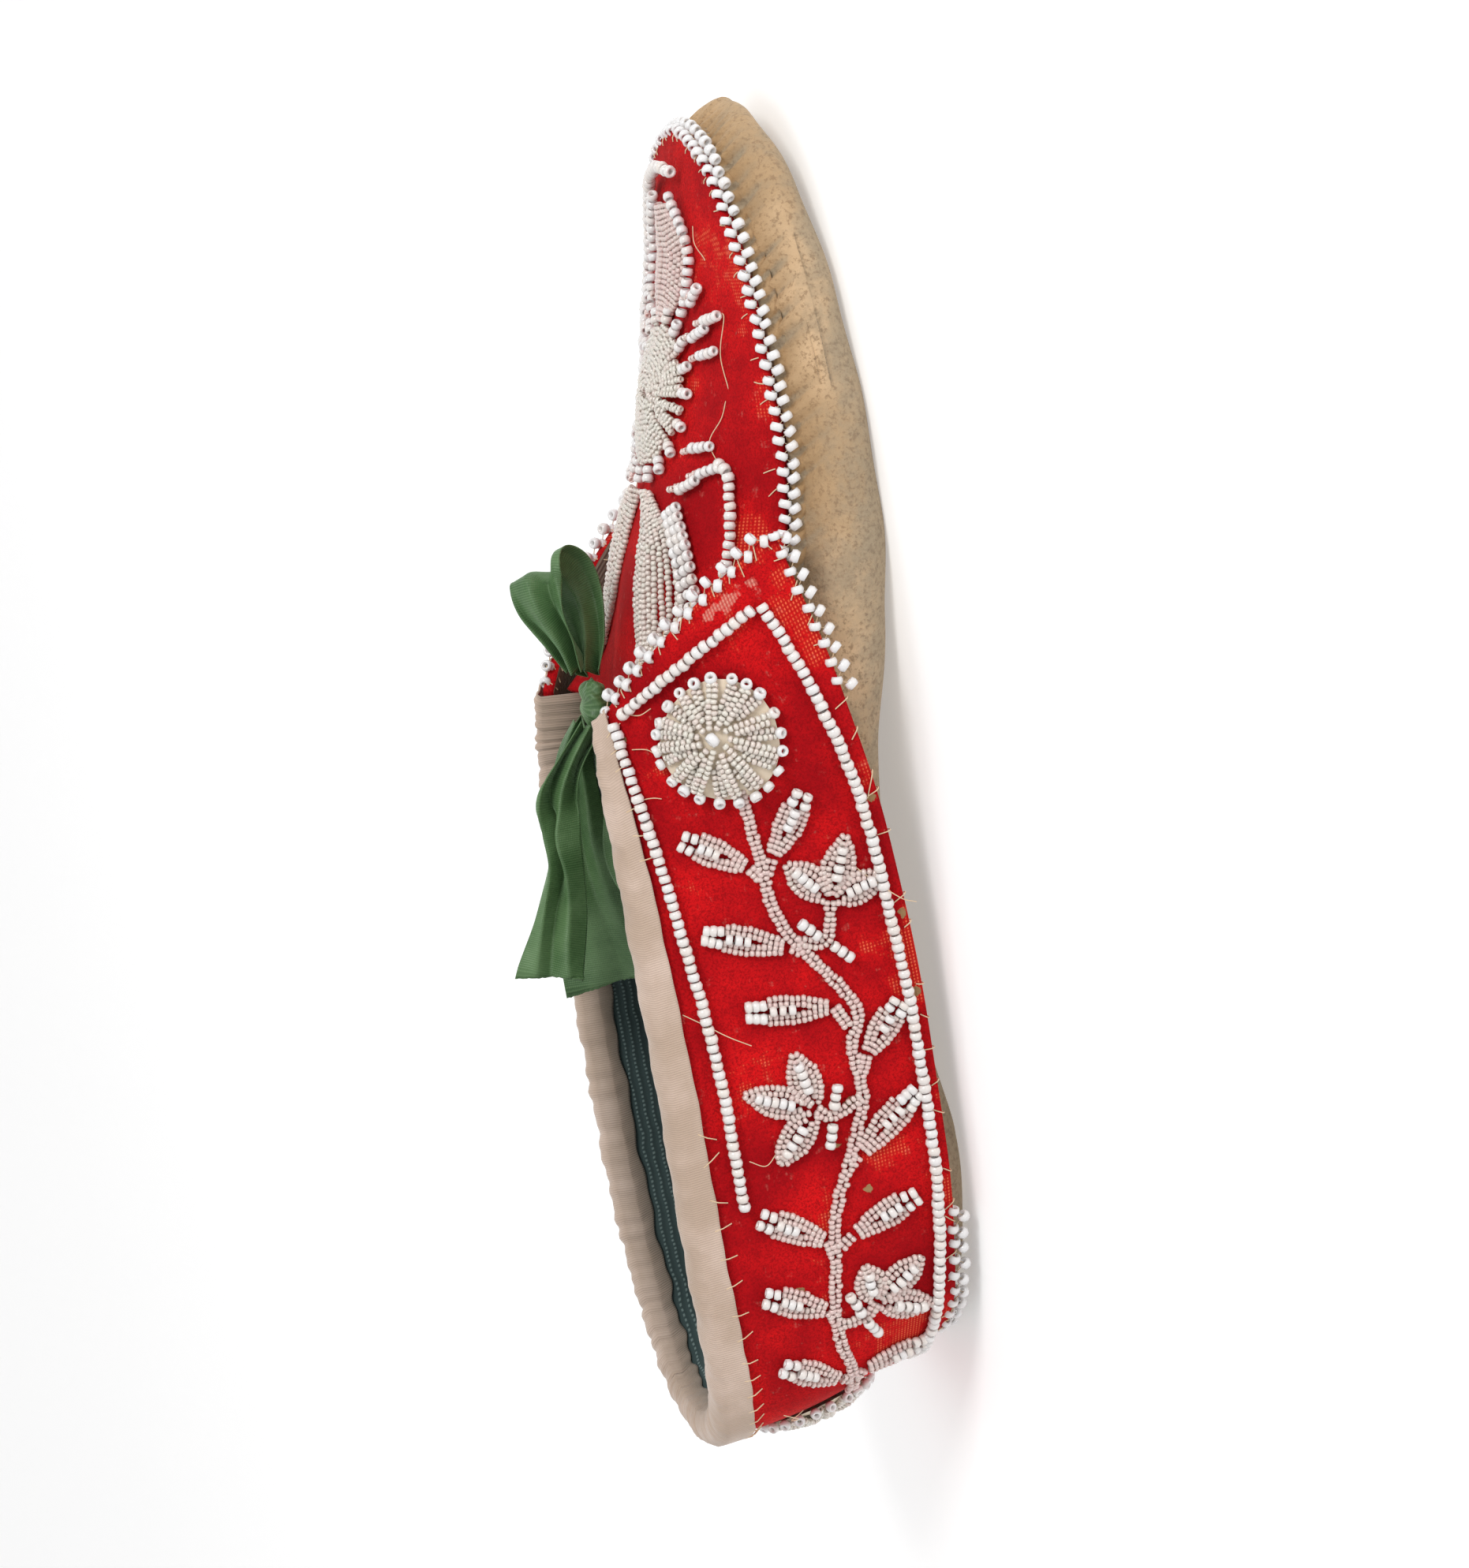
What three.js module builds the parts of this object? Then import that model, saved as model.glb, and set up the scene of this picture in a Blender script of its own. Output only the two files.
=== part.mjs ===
// A beaded moccasin with a one-piece hide bag, a tongue-shaped velvet vamp, a wide velvet cuff that
// hangs from the collar, bead strings along the edges, raised bead rosettes and a ribbon bow.
// Millimetres. +X points to the toe, +Y to the wearer's left and +Z up; the floor is z = 0.
// The origin is on the floor under the middle of the heel.
import * as THREE from "three";
import { mergeVertices } from "three/addons/utils/BufferGeometryUtils.js";

// Driving dimensions of the shoe
const LENGTH = 226; // hide bag, back of the heel to the toe
const HALF_BALL = 42; // half the hide bag's width at the ball of the foot
const COLLAR_HEIGHT = 52; // floor to the collar's front corners
const HEEL_FROM_BACK = 26; // back of the heel to the origin

// Thicknesses and running gaps
const HIDE = 1.8; // smoked hide
const CLOTH = 2.2; // velvet, its paper pattern and its backing
const BINDING = 0.8; // folded silk binding ribbon
const RIBBON = 0.8; // tie ribbon, with its crease
const GAP = 0.35; // between pieces that touch
const FOLD_GAP = 0.7; // between the binding and the two layers that it folds over
const RIM_GAP = 0.85; // between the hide's rim, which falls steeply at the throat, and the vamp on it

// Beads and bead pads
const BEAD = 2.4; // a string of white beads, across
const ROSETTE_RADIUS = 12.5;
const ROSETTE_RISE = 3.4;
const MOTIF_RISE = 3.2; // raised beadwork on the vamp
const DOME_FALL = 0.45; // share of its rise that a bead pad loses at its edge

// Details of the cut
const VAMP_OVERHANG = 1.0; // vamp past the gathered edge of the hide
const BINDING_OUTSIDE = 5.5; // depth of the binding on the outside of the cuff
const BINDING_TAPER = 0.55; // share of that depth lost towards the collar's front
const BINDING_INSIDE = 6.5; // depth of the binding inside the collar
const OUTLINE_INSET = 5.2; // bead outline from the cuff's hem
const TIP_REACH = 1.7; // how far the hem's beads swing out round the cuff's front points
const RIBBON_WIDTH = 17;
const RIBBON_CUP = 0.12; // how far a ribbon's middle bulges, a share of its half width
const KNOT_LENGTH = 9.6;
const KNOT_WIDTH = 9.2;
const KNOT_HEIGHT = 6;
const KNOT_ABOVE = 3.6; // the knot's middle above the vamp's throat

// The hide bag's ribs, from the middle of the heel (first row) round one side to the middle of the
// toe (last row). Each rib runs from the sole's edge over the widest place of the side to the rim.
// x is a share of LENGTH from the back of the heel, y a share of HALF_BALL and z of COLLAR_HEIGHT.
const HIDE_RIBS = [
  { soleX: 0.040, soleY: 0.00, soleZ: 0.000, sideX: 0.000, sideY: 0.00, sideZ: 0.19, rimX: -0.055, rimY: 0.000, rimZ: 0.905 },
  { soleX: 0.053, soleY: 0.31, soleZ: 0.000, sideX: 0.016, sideY: 0.39, sideZ: 0.19, rimX: -0.038, rimY: 0.295, rimZ: 0.91 },
  { soleX: 0.089, soleY: 0.53, soleZ: 0.000, sideX: 0.058, sideY: 0.62, sideZ: 0.19, rimX: 0.022, rimY: 0.510, rimZ: 0.93 },
  { soleX: 0.170, soleY: 0.62, soleZ: 0.000, sideX: 0.150, sideY: 0.74, sideZ: 0.20, rimX: 0.128, rimY: 0.595, rimZ: 0.955 },
  { soleX: 0.265, soleY: 0.61, soleZ: 0.055, sideX: 0.262, sideY: 0.75, sideZ: 0.24, rimX: 0.260, rimY: 0.625, rimZ: 0.965 },
  { soleX: 0.385, soleY: 0.64, soleZ: 0.125, sideX: 0.390, sideY: 0.79, sideZ: 0.27, rimX: 0.390, rimY: 0.600, rimZ: 0.97 },
  { soleX: 0.490, soleY: 0.73, soleZ: 0.095, sideX: 0.495, sideY: 0.88, sideZ: 0.27, rimX: 0.490, rimY: 0.520, rimZ: 0.96 },
  { soleX: 0.590, soleY: 0.82, soleZ: 0.025, sideX: 0.585, sideY: 0.97, sideZ: 0.22, rimX: 0.545, rimY: 0.480, rimZ: 0.84 },
  { soleX: 0.680, soleY: 0.87, soleZ: 0.000, sideX: 0.675, sideY: 1.00, sideZ: 0.14, rimX: 0.650, rimY: 0.845, rimZ: 0.31 },
  { soleX: 0.765, soleY: 0.85, soleZ: 0.000, sideX: 0.765, sideY: 0.975, sideZ: 0.12, rimX: 0.745, rimY: 0.835, rimZ: 0.25 },
  { soleX: 0.845, soleY: 0.73, soleZ: 0.012, sideX: 0.855, sideY: 0.855, sideZ: 0.12, rimX: 0.832, rimY: 0.735, rimZ: 0.25 },
  { soleX: 0.910, soleY: 0.52, soleZ: 0.035, sideX: 0.932, sideY: 0.62, sideZ: 0.12, rimX: 0.908, rimY: 0.555, rimZ: 0.255 },
  { soleX: 0.945, soleY: 0.26, soleZ: 0.050, sideX: 0.984, sideY: 0.33, sideZ: 0.125, rimX: 0.960, rimY: 0.315, rimZ: 0.26 },
  { soleX: 0.952, soleY: 0.00, soleZ: 0.055, sideX: 1.000, sideY: 0.00, sideZ: 0.125, rimX: 0.976, rimY: 0.000, rimZ: 0.26 },
];
const THROAT_ROW = 7; // the rib where the collar ends and the vamp begins
const INSIDE_X = 0.35; // the middle of the collar, a share of LENGTH
const WALL_UPRIGHT = 0.22; // share of a rib's height over which its wall starts out upright
const SPINE = { heel: 2.3, toe: 10.5 }; // the ribs between which the sole has a middle line

// Height of the vamp's middle line, a share of COLLAR_HEIGHT at a share of LENGTH
const VAMP_MIDDLE = [
  { x: 0.545, z: 0.835 },
  { x: 0.620, z: 0.745 },
  { x: 0.717, z: 0.585 },
  { x: 0.805, z: 0.465 },
  { x: 0.885, z: 0.375 },
];

// The cuff's outer face, in the same shares, from the middle of the heel to the slanted front edge.
// belly pushes the middle of the rib outwards, a share of COLLAR_HEIGHT.
const CUFF_RIBS = [
  { topX: -0.069, topY: 0.000, topZ: 0.925, hemX: -0.018, hemY: 0.000, hemZ: 0.125, belly: 0.050 },
  { topX: -0.051, topY: 0.355, topZ: 0.930, hemX: -0.001, hemY: 0.430, hemZ: 0.115, belly: 0.045 },
  { topX: 0.012, topY: 0.575, topZ: 0.950, hemX: 0.040, hemY: 0.690, hemZ: 0.100, belly: 0.030 },
  { topX: 0.122, topY: 0.665, topZ: 0.980, hemX: 0.150, hemY: 0.850, hemZ: 0.092, belly: 0.012 },
  { topX: 0.255, topY: 0.695, topZ: 0.990, hemX: 0.285, hemY: 0.925, hemZ: 0.105, belly: 0.005 },
  { topX: 0.380, topY: 0.672, topZ: 1.000, hemX: 0.420, hemY: 0.980, hemZ: 0.155, belly: 0.015 },
  { topX: 0.480, topY: 0.595, topZ: 1.000, hemX: 0.560, hemY: 1.035, hemZ: 0.265, belly: 0.050 },
  { topX: 0.548, topY: 0.500, topZ: 0.985, hemX: 0.680, hemY: 1.020, hemZ: 0.415, belly: 0.060 },
];

// Where the rosettes sit: a rib of the cuff and a share of its height from the top edge
const ROSETTES = [
  { name: "rosette_heel", rib: 0, down: 0.5, side: 1 },
  { name: "rosette_left", rib: 6.06, down: 0.5, side: 1 },
  { name: "rosette_right", rib: 6.06, down: 0.5, side: -1 },
];

// The raised motif on the vamp: half width, a share of HALF_BALL, at a share of LENGTH
const MOTIF = [
  { x: 0.625, half: 0.40 },
  { x: 0.690, half: 0.50 },
  { x: 0.755, half: 0.40 },
  { x: 0.805, half: 0.36 },
  { x: 0.855, half: 0.30 },
  { x: 0.925, half: 0.12 },
];

// The bow. Each station gives the middle of the ribbon measured from the knot in ribbon widths, the
// way its width lies, and the share of the full width that it spreads to.
const BOW = {
  ribbon_loop_front: [
    { x: 0.31, y: 0.06, z: -0.01, wx: 0, wy: 0.9, wz: 0.4, width: 0.24 },
    { x: 0.71, y: 0.24, z: -0.12, wx: 0.2, wy: 0.95, wz: 0.1, width: 0.5 },
    { x: 1.12, y: 0.41, z: -0.22, wx: 0.6, wy: 0.75, wz: -0.2, width: 0.6 },
    { x: 1.38, y: 0.41, z: -0.09, wx: 0.75, wy: 0.6, wz: 0.1, width: 0.6 },
    { x: 1.5, y: 0.26, z: 0.26, wx: 0.7, wy: 0.3, wz: 0.6, width: 0.58 },
    { x: 1.47, y: 0.12, z: 0.48, wx: 0.4, wy: 0.1, wz: 0.9, width: 0.58 },
    { x: 1.09, y: -0.03, z: 0.44, wx: 0.3, wy: 0.1, wz: 0.95, width: 0.42 },
    { x: 0.71, y: -0.05, z: 0.27, wx: 0.4, wy: 0.1, wz: 0.9, width: 0.28 },
    { x: 0.39, y: -0.02, z: 0.15, wx: 0.4, wy: 0.4, wz: 0.8, width: 0.2 },
  ],
  ribbon_loop_back: [
    { x: -0.31, y: 0.02, z: -0.05, wx: 0, wy: 0.9, wz: 0.4, width: 0.24 },
    { x: -0.82, y: -0.09, z: 0.01, wx: 0.1, wy: 0.95, wz: 0.3, width: 0.5 },
    { x: -1.47, y: -0.21, z: 0, wx: 0.1, wy: 0.95, wz: 0.3, width: 0.72 },
    { x: -2, y: -0.24, z: -0.11, wx: 0, wy: 0.95, wz: 0.3, width: 0.8 },
    { x: -2.21, y: -0.24, z: -0.28, wx: 0, wy: 0.97, wz: 0.2, width: 0.8 },
    { x: -1.88, y: -0.21, z: -0.44, wx: 0, wy: 0.98, wz: 0.2, width: 0.72 },
    { x: -1.12, y: -0.09, z: -0.4, wx: 0, wy: 1, wz: 0.1, width: 0.45 },
  ],
  ribbon_tail_right: [
    { x: -0.25, y: -0.08, z: 0.11, wx: 0.4, wy: 0.3, wz: 0.85, width: 0.22 },
    { x: -0.56, y: -0.18, z: 0.41, wx: 0.5, wy: 0.2, wz: 0.8, width: 0.26 },
    { x: -0.91, y: -0.21, z: 0.61, wx: 0.2, wy: 0.3, wz: 0.93, width: 0.42 },
    { x: -1.26, y: -0.21, z: 0.64, wx: 0.2, wy: 0.85, wz: 0.5, width: 0.34 },
    { x: -1.68, y: -0.21, z: 0.66, wx: 0.2, wy: 0.6, wz: 0.8, width: 0.38 },
    { x: -2.21, y: -0.21, z: 0.78, wx: 0.2, wy: 0.25, wz: 0.95, width: 0.55 },
    { x: -2.76, y: -0.24, z: 1, wx: 0.3, wy: 0.1, wz: 0.95, width: 0.72 },
  ],
  ribbon_tail_left: [
    { x: -0.2, y: 0.21, z: 0.09, wx: 0.2, wy: 0.3, wz: 0.9, width: 0.22 },
    { x: -0.71, y: 0.38, z: 0.24, wx: 0.1, wy: 0.4, wz: 0.9, width: 0.42 },
    { x: -1.53, y: 0.53, z: 0.27, wx: 0.1, wy: 0.5, wz: 0.85, width: 0.66 },
    { x: -2.41, y: 0.62, z: 0.26, wx: 0.1, wy: 0.5, wz: 0.85, width: 0.84 },
    { x: -3.18, y: 0.65, z: 0.22, wx: 0.2, wy: 0.5, wz: 0.85, width: 0.92 },
  ],
};
// The strand across the throat, under the knot
const TIE_RIB = 6.7;
const TIE_WIDTH = 5;

// How finely the faceted solids follow their curves
const STEPS_PER_RIB = 3;
const SOLE_STEPS = 3;
const CORNER_STEPS = 3;
const WALL_STEPS = 4;
const CUFF_STEPS = 6;
const STRING_SIDES = 5;
const STRING_STEP = 5.5;
const RIBBON_STEPS = 16;

const vec = (x, y, z) => new THREE.Vector3(x, y, z);
const clamp = THREE.MathUtils.clamp;
const lerp = THREE.MathUtils.lerp;

// A smooth curve through one column of a table of evenly counted rows. It never overshoots its
// rows, so a flat stretch stays flat. A column that crosses the shoe's middle line keeps its slope
// at the first and last row, and any other column levels out there.
function column(rows, name, crosses) {
  const values = rows.map((row) => row[name]);
  const last = values.length - 1;
  const rise = (i) => values[i + 1] - values[i];
  const slope = (i) => {
    if (i === 0) return crosses ? rise(0) : 0;
    if (i === last) return crosses ? rise(last - 1) : 0;
    const before = rise(i - 1);
    const after = rise(i);
    return before * after <= 0 ? 0 : (2 * before * after) / (before + after);
  };
  return (at) => {
    const i = clamp(Math.floor(at), 0, last - 1);
    const t = at - i;
    const bend = t * t * (3 - 2 * t);
    return (
      values[i] + rise(i) * bend + slope(i) * t * (1 - t) * (1 - t) - slope(i + 1) * t * t * (1 - t)
    );
  };
}

// A point of a rib, from its columns, on the side given by the sign of `rib`
function ribPoint(columns, part) {
  return (rib) => {
    const at = Math.abs(rib);
    const side = Math.sign(rib) || 1;
    return vec(
      columns[part + "X"](at) * LENGTH,
      columns[part + "Y"](at) * HALF_BALL * side,
      columns[part + "Z"](at) * COLLAR_HEIGHT,
    );
  };
}

function ribColumns(rows) {
  const columns = {};
  for (const name of Object.keys(rows[0])) columns[name] = column(rows, name, name.endsWith("Y"));
  return columns;
}

function between(a, b, t) {
  return a.clone().lerp(b, t);
}

// A quadratic curve from a to b that leaves a towards the corner
function bend(a, corner, b, t) {
  return between(between(a, corner, t), between(corner, b, t), t);
}

// The unit normal of a surface at (u, v), by small differences
function normalOf(surface, u, v, uStep, vStep) {
  const alongU = surface(u + uStep, v).sub(surface(u - uStep, v));
  const alongV = surface(u, v + vStep).sub(surface(u, v - vStep));
  return alongU.cross(alongV).normalize();
}

// Hide bag. `rib` runs from the toe round the right side to the heel (0) and back by the left side
// to the toe, and `up` from the sole's middle line (0) by its edge (1) and the side (2) to the rim (3).
const hideColumns = ribColumns(HIDE_RIBS);
const soleEdge = ribPoint(hideColumns, "sole");
const sidePoint = ribPoint(hideColumns, "side");
const rimPoint = ribPoint(hideColumns, "rim");

function soleMiddle(rib) {
  return soleEdge(clamp(Math.abs(rib), SPINE.heel, SPINE.toe)).setY(0);
}

function hideOuter(rib, up) {
  const edge = soleEdge(rib);
  const side = sidePoint(rib);
  if (up <= 1) return between(soleMiddle(rib), edge, up);
  if (up <= 2) return bend(edge, vec(side.x, side.y, edge.z), side, up - 1);
  const rim = rimPoint(rib);
  const upright = vec(side.x, side.y, lerp(side.z, rim.z, WALL_UPRIGHT));
  return bend(side, upright, rim, up - 2);
}

// The hide's surface moved inwards by `depth`
function hideInner(rib, up, depth) {
  const point = hideOuter(rib, up);
  if (up < 0.5) return point.add(vec(0, 0, depth));
  const inwards = normalOf(hideOuter, rib, Math.min(up, 2.99), 0.02, 0.01);
  const middle = soleMiddle(rib).setZ(COLLAR_HEIGHT / 2);
  if (inwards.dot(middle.sub(point)) < 0) inwards.negate();
  return point.addScaledVector(inwards, depth);
}

// Cuff. `rib` runs from the right front edge (negative) round the heel (0) to the left front edge,
// and `down` from the top edge (0) to the hem (1). `out` moves the point off the outer face.
const cuffColumns = ribColumns(CUFF_RIBS);
for (const name of Object.keys(CUFF_RIBS[0])) {
  const open = column(CUFF_RIBS, name, true);
  const level = cuffColumns[name];
  cuffColumns[name] = (at) => (at > 1 ? open(at) : level(at));
}
const INSIDE = vec(INSIDE_X * LENGTH, 0, 0); // a point that every part of the cuff faces away from
const cuffTop = ribPoint(cuffColumns, "top");
const cuffHem = ribPoint(cuffColumns, "hem");
const CUFF_END = CUFF_RIBS.length - 1;

function cuffFace(rib, down) {
  const top = cuffTop(rib);
  const hem = cuffHem(rib);
  const point = between(top, hem, down);
  const alongTop = cuffTop(rib + 0.02).sub(cuffTop(rib - 0.02));
  const outwards = alongTop.cross(hem.clone().sub(top)).normalize();
  if (outwards.dot(INSIDE.clone().sub(point).setZ(0)) > 0) outwards.negate();
  const belly = cuffColumns.belly(Math.abs(rib)) * COLLAR_HEIGHT;
  return point.addScaledVector(outwards, belly * Math.sin(Math.PI * down));
}

function cuffPoint(rib, down, out) {
  const point = cuffFace(rib, down);
  const outwards = normalOf(cuffFace, rib, down, 0.02, 0.01);
  if (outwards.dot(INSIDE.clone().sub(point).setZ(0)) > 0) outwards.negate();
  return point.addScaledVector(outwards, out);
}

// A smooth curve through one column of a table whose rows stand at shares x of the length
function along(rows, name) {
  const smooth = column(rows, name, true);
  return (x) => {
    const share = clamp(x / LENGTH, rows[0].x, rows.at(-1).x);
    const i = rows.findIndex((row, k) => k === rows.length - 2 || share <= rows[k + 1].x);
    return smooth(i + (share - rows[i].x) / (rows[i + 1].x - rows[i].x));
  };
}

const vampCrown = along(VAMP_MIDDLE, "z");

function vampMiddle(x) {
  return vampCrown(x) * COLLAR_HEIGHT;
}

const THROAT_X = rimPoint(THROAT_ROW).x;
const VAMP_END_X = soleMiddle(SPINE.toe).x;
const KNOT_AT = vec(THROAT_X, 0, vampMiddle(THROAT_X) + KNOT_ABOVE);

// Vamp. `rib` runs over the hide's ribs from the throat to the toe, and `across` from the middle
// line (0) to the vamp's edge (1). `lift` moves the point up from the vamp's top face.
function vampTop(rib, across, lift) {
  const rim = rimPoint(rib);
  const alongRim = rimPoint(rib + 0.02).sub(rimPoint(rib - 0.02)).setZ(0).normalize();
  const outwards = vec(alongRim.y, -alongRim.x, 0);
  if (outwards.y * rim.y < 0 || (rim.y === 0 && outwards.x < 0)) outwards.negate();
  const edge = rim.clone().addScaledVector(outwards, VAMP_OVERHANG);
  edge.x = Math.max(edge.x, THROAT_X);
  const middle = vec(clamp(rim.x, THROAT_X, VAMP_END_X), 0, 0);
  const point = between(middle, edge, across);
  const edgeZ = rim.z + RIM_GAP + CLOTH;
  point.z = lerp(vampMiddle(middle.x), edgeZ, across * across) + lift;
  return point;
}

// Turns a net of points into one closed solid: an outer and an inner sheet joined along their open
// edges. With `round` the first and last columns are the same, and with `seam` the first row is a
// line where the sheet's two sides meet, which needs no wall.
function slab(columns, rows, outer, inner, { round = false, seam = false } = {}) {
  const positions = [];
  const index = [];
  const count = columns.length;
  const width = rows.length;
  for (const sheet of [outer, inner]) {
    for (const u of columns) {
      for (const v of rows) positions.push(...sheet(u, v).toArray());
    }
  }
  const at = (sheet, i, j) => (sheet * count + (i % count)) * width + j;
  const face = (a, b, c, d) => index.push(a, b, c, a, c, d);
  const steps = round ? count : count - 1;
  for (let i = 0; i < steps; i++) {
    for (let j = 0; j < width - 1; j++) {
      face(at(0, i, j), at(0, i + 1, j), at(0, i + 1, j + 1), at(0, i, j + 1));
      face(at(1, i, j), at(1, i, j + 1), at(1, i + 1, j + 1), at(1, i + 1, j));
    }
    face(at(0, i, width - 1), at(0, i + 1, width - 1), at(1, i + 1, width - 1), at(1, i, width - 1));
    if (!seam) face(at(0, i + 1, 0), at(0, i, 0), at(1, i, 0), at(1, i + 1, 0));
  }
  if (!round) {
    for (let j = 0; j < width - 1; j++) {
      face(at(0, 0, j), at(0, 0, j + 1), at(1, 0, j + 1), at(1, 0, j));
      const end = count - 1;
      face(at(0, end, j + 1), at(0, end, j), at(1, end, j), at(1, end, j + 1));
    }
  }
  return closed(positions, index);
}

// Merges shared points, drops faces with no area and turns the faces outwards
function closed(positions, index) {
  const raw = new THREE.BufferGeometry();
  raw.setAttribute("position", new THREE.Float32BufferAttribute(positions, 3));
  raw.setIndex(index);
  const merged = mergeVertices(raw, 2e-3);
  const all = merged.index.array;
  const kept = [];
  for (let i = 0; i < all.length; i += 3) {
    const [a, b, c] = [all[i], all[i + 1], all[i + 2]];
    if (a !== b && b !== c && a !== c) kept.push(a, b, c);
  }
  const spot = merged.attributes.position;
  const corner = (i) => new THREE.Vector3().fromBufferAttribute(spot, i);
  let volume = 0;
  for (let i = 0; i < kept.length; i += 3) {
    volume += corner(kept[i]).dot(corner(kept[i + 1]).cross(corner(kept[i + 2])));
  }
  if (volume < 0) {
    for (let i = 0; i < kept.length; i += 3) [kept[i + 1], kept[i + 2]] = [kept[i + 2], kept[i + 1]];
  }
  merged.setIndex(kept);
  merged.computeVertexNormals();
  return merged;
}

// Evenly spaced values from a to b, `steps` + 1 of them
function spread(a, b, steps) {
  return Array.from({ length: steps + 1 }, (_, i) => lerp(a, b, i / steps));
}

function hideBag() {
  const last = HIDE_RIBS.length - 1;
  const ribs = spread(-last, last, 2 * last * STEPS_PER_RIB).slice(0, -1);
  const ups = [
    ...spread(0, 1, SOLE_STEPS),
    ...spread(1, 2, CORNER_STEPS).slice(1),
    ...spread(2, 3, WALL_STEPS).slice(1),
  ];
  return slab(ribs, ups, hideOuter, (rib, up) => hideInner(rib, up, HIDE), { round: true, seam: true });
}

function vamp() {
  const last = HIDE_RIBS.length - 1;
  const right = spread(-THROAT_ROW, -last, (last - THROAT_ROW) * STEPS_PER_RIB);
  const left = right.slice(0, -1).reverse().map((rib) => -rib);
  const across = spread(0, 1, 5);
  const under = (rib, share) => vampTop(rib, share, -CLOTH);
  return slab([...right, ...left], across, (rib, share) => vampTop(rib, share, 0), under, { seam: true });
}

function cuff() {
  const ribs = spread(-CUFF_END, CUFF_END, 2 * CUFF_END * STEPS_PER_RIB);
  const downs = spread(0, 1, CUFF_STEPS);
  return slab(ribs, downs, (rib, down) => cuffPoint(rib, down, 0), (rib, down) => cuffPoint(rib, down, -CLOTH));
}

// The silk binding folds over the top of the cuff and the hide's rim, down both sides
function binding() {
  const ribs = spread(-CUFF_END, CUFF_END, 2 * CUFF_END * STEPS_PER_RIB);
  const fold = (rib, step, off) => {
    const top = cuffTop(rib);
    const outsideDepth = BINDING_OUTSIDE * (1 - BINDING_TAPER * (Math.abs(rib) / CUFF_END) ** 2);
    const height = top.distanceTo(cuffHem(rib));
    if (step === 0) return cuffPoint(rib, outsideDepth / height, off);
    if (step === 1) return cuffPoint(rib, 0, off).setZ(top.z + off);
    const rim = rimPoint(rib);
    const side = sidePoint(rib);
    if (step === 2) return hideInner(rib, 3, HIDE + off).setZ(top.z + off);
    const up = 3 - BINDING_INSIDE / (rim.z - side.z);
    return hideInner(rib, step === 3 ? 3 : up, HIDE + off);
  };
  const outer = (rib, step) => fold(rib, step, FOLD_GAP + BINDING);
  return slab(ribs, [0, 1, 2, 3, 4], outer, (rib, step) => fold(rib, step, FOLD_GAP));
}

// A string of beads as one tube through the given points
function beadString(points) {
  const line = new THREE.CatmullRomCurve3(points);
  const section = new THREE.Shape(
    spread(0, 2 * Math.PI, STRING_SIDES)
      .slice(0, -1)
      .map((angle) => new THREE.Vector2(Math.cos(angle), Math.sin(angle)).multiplyScalar(BEAD / 2)),
  );
  const steps = Math.round(line.getLength() / STRING_STEP);
  const tube = new THREE.ExtrudeGeometry(section, { steps, bevelEnabled: false, extrudePath: line });
  tube.deleteAttribute("normal");
  tube.deleteAttribute("uv");
  const corners = tube.attributes.position;
  return closed([...corners.array], [...Array(corners.count).keys()]);
}

function vampString() {
  const last = HIDE_RIBS.length - 1;
  const reach = last - THROAT_ROW;
  const away = BEAD / 2 + GAP;
  const ribs = spread(-THROAT_ROW - 0.35, -last, reach * 2);
  const loop = [...ribs, ...ribs.slice(0, -1).reverse().map((rib) => -rib)];
  return beadString(loop.map((rib) => {
    const edge = vampTop(rib, 1, -CLOTH / 2);
    const inner = vampTop(rib, 0.9, -CLOTH / 2);
    return edge.add(edge.clone().sub(inner).setZ(0).normalize().multiplyScalar(away));
  }));
}

// The bead string along the cuff's hem and both slanted front edges
function hemString() {
  const away = BEAD / 2 + GAP;
  const point = (rib, down) => cuffPoint(rib, down, -CLOTH / 2);
  const offEdge = (rib, down, inRib, inDown) => {
    const edge = point(rib, down);
    return edge.add(edge.clone().sub(point(inRib, inDown)).normalize().multiplyScalar(away));
  };
  const front = (side) => spread(0.06, 0.94, 6).map(
    (down) => offEdge(side * CUFF_END, down, side * (CUFF_END - 0.2), down),
  );
  const hem = spread(-CUFF_END + 0.12, CUFF_END - 0.12, 28).map((rib) => offEdge(rib, 1, rib, 0.9));
  const tip = (side) => {
    const inner = point(side * (CUFF_END - 0.2), 0.92);
    const corner = point(side * CUFF_END, 1);
    return corner.add(corner.clone().sub(inner).normalize().multiplyScalar(TIP_REACH * away));
  };
  return beadString([...front(-1), tip(-1), ...hem, tip(1), ...front(1).reverse()]);
}

// The bead string that outlines each velvet face, inside its edges
function outlineString(side) {
  const off = BEAD / 2 + GAP;
  const point = (rib, down) => cuffPoint(side * rib, down, off);
  const hemDown = (rib) => 1 - OUTLINE_INSET / cuffTop(rib).distanceTo(cuffHem(rib));
  const topDown = (rib) => (BINDING_OUTSIDE + BEAD) / cuffTop(rib).distanceTo(cuffHem(rib));
  const frontRib = CUFF_END - 0.3;
  const hem = spread(0.5, frontRib, 14).map((rib) => point(rib, hemDown(rib)));
  const frontDowns = spread(hemDown(frontRib), topDown(frontRib), 5).slice(1, -1);
  const front = frontDowns.map((down) => point(frontRib, down));
  const top = spread(frontRib, 0.9, 14).map((rib) => point(rib, topDown(rib)));
  return beadString([...hem, ...front, ...top]);
}

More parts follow.
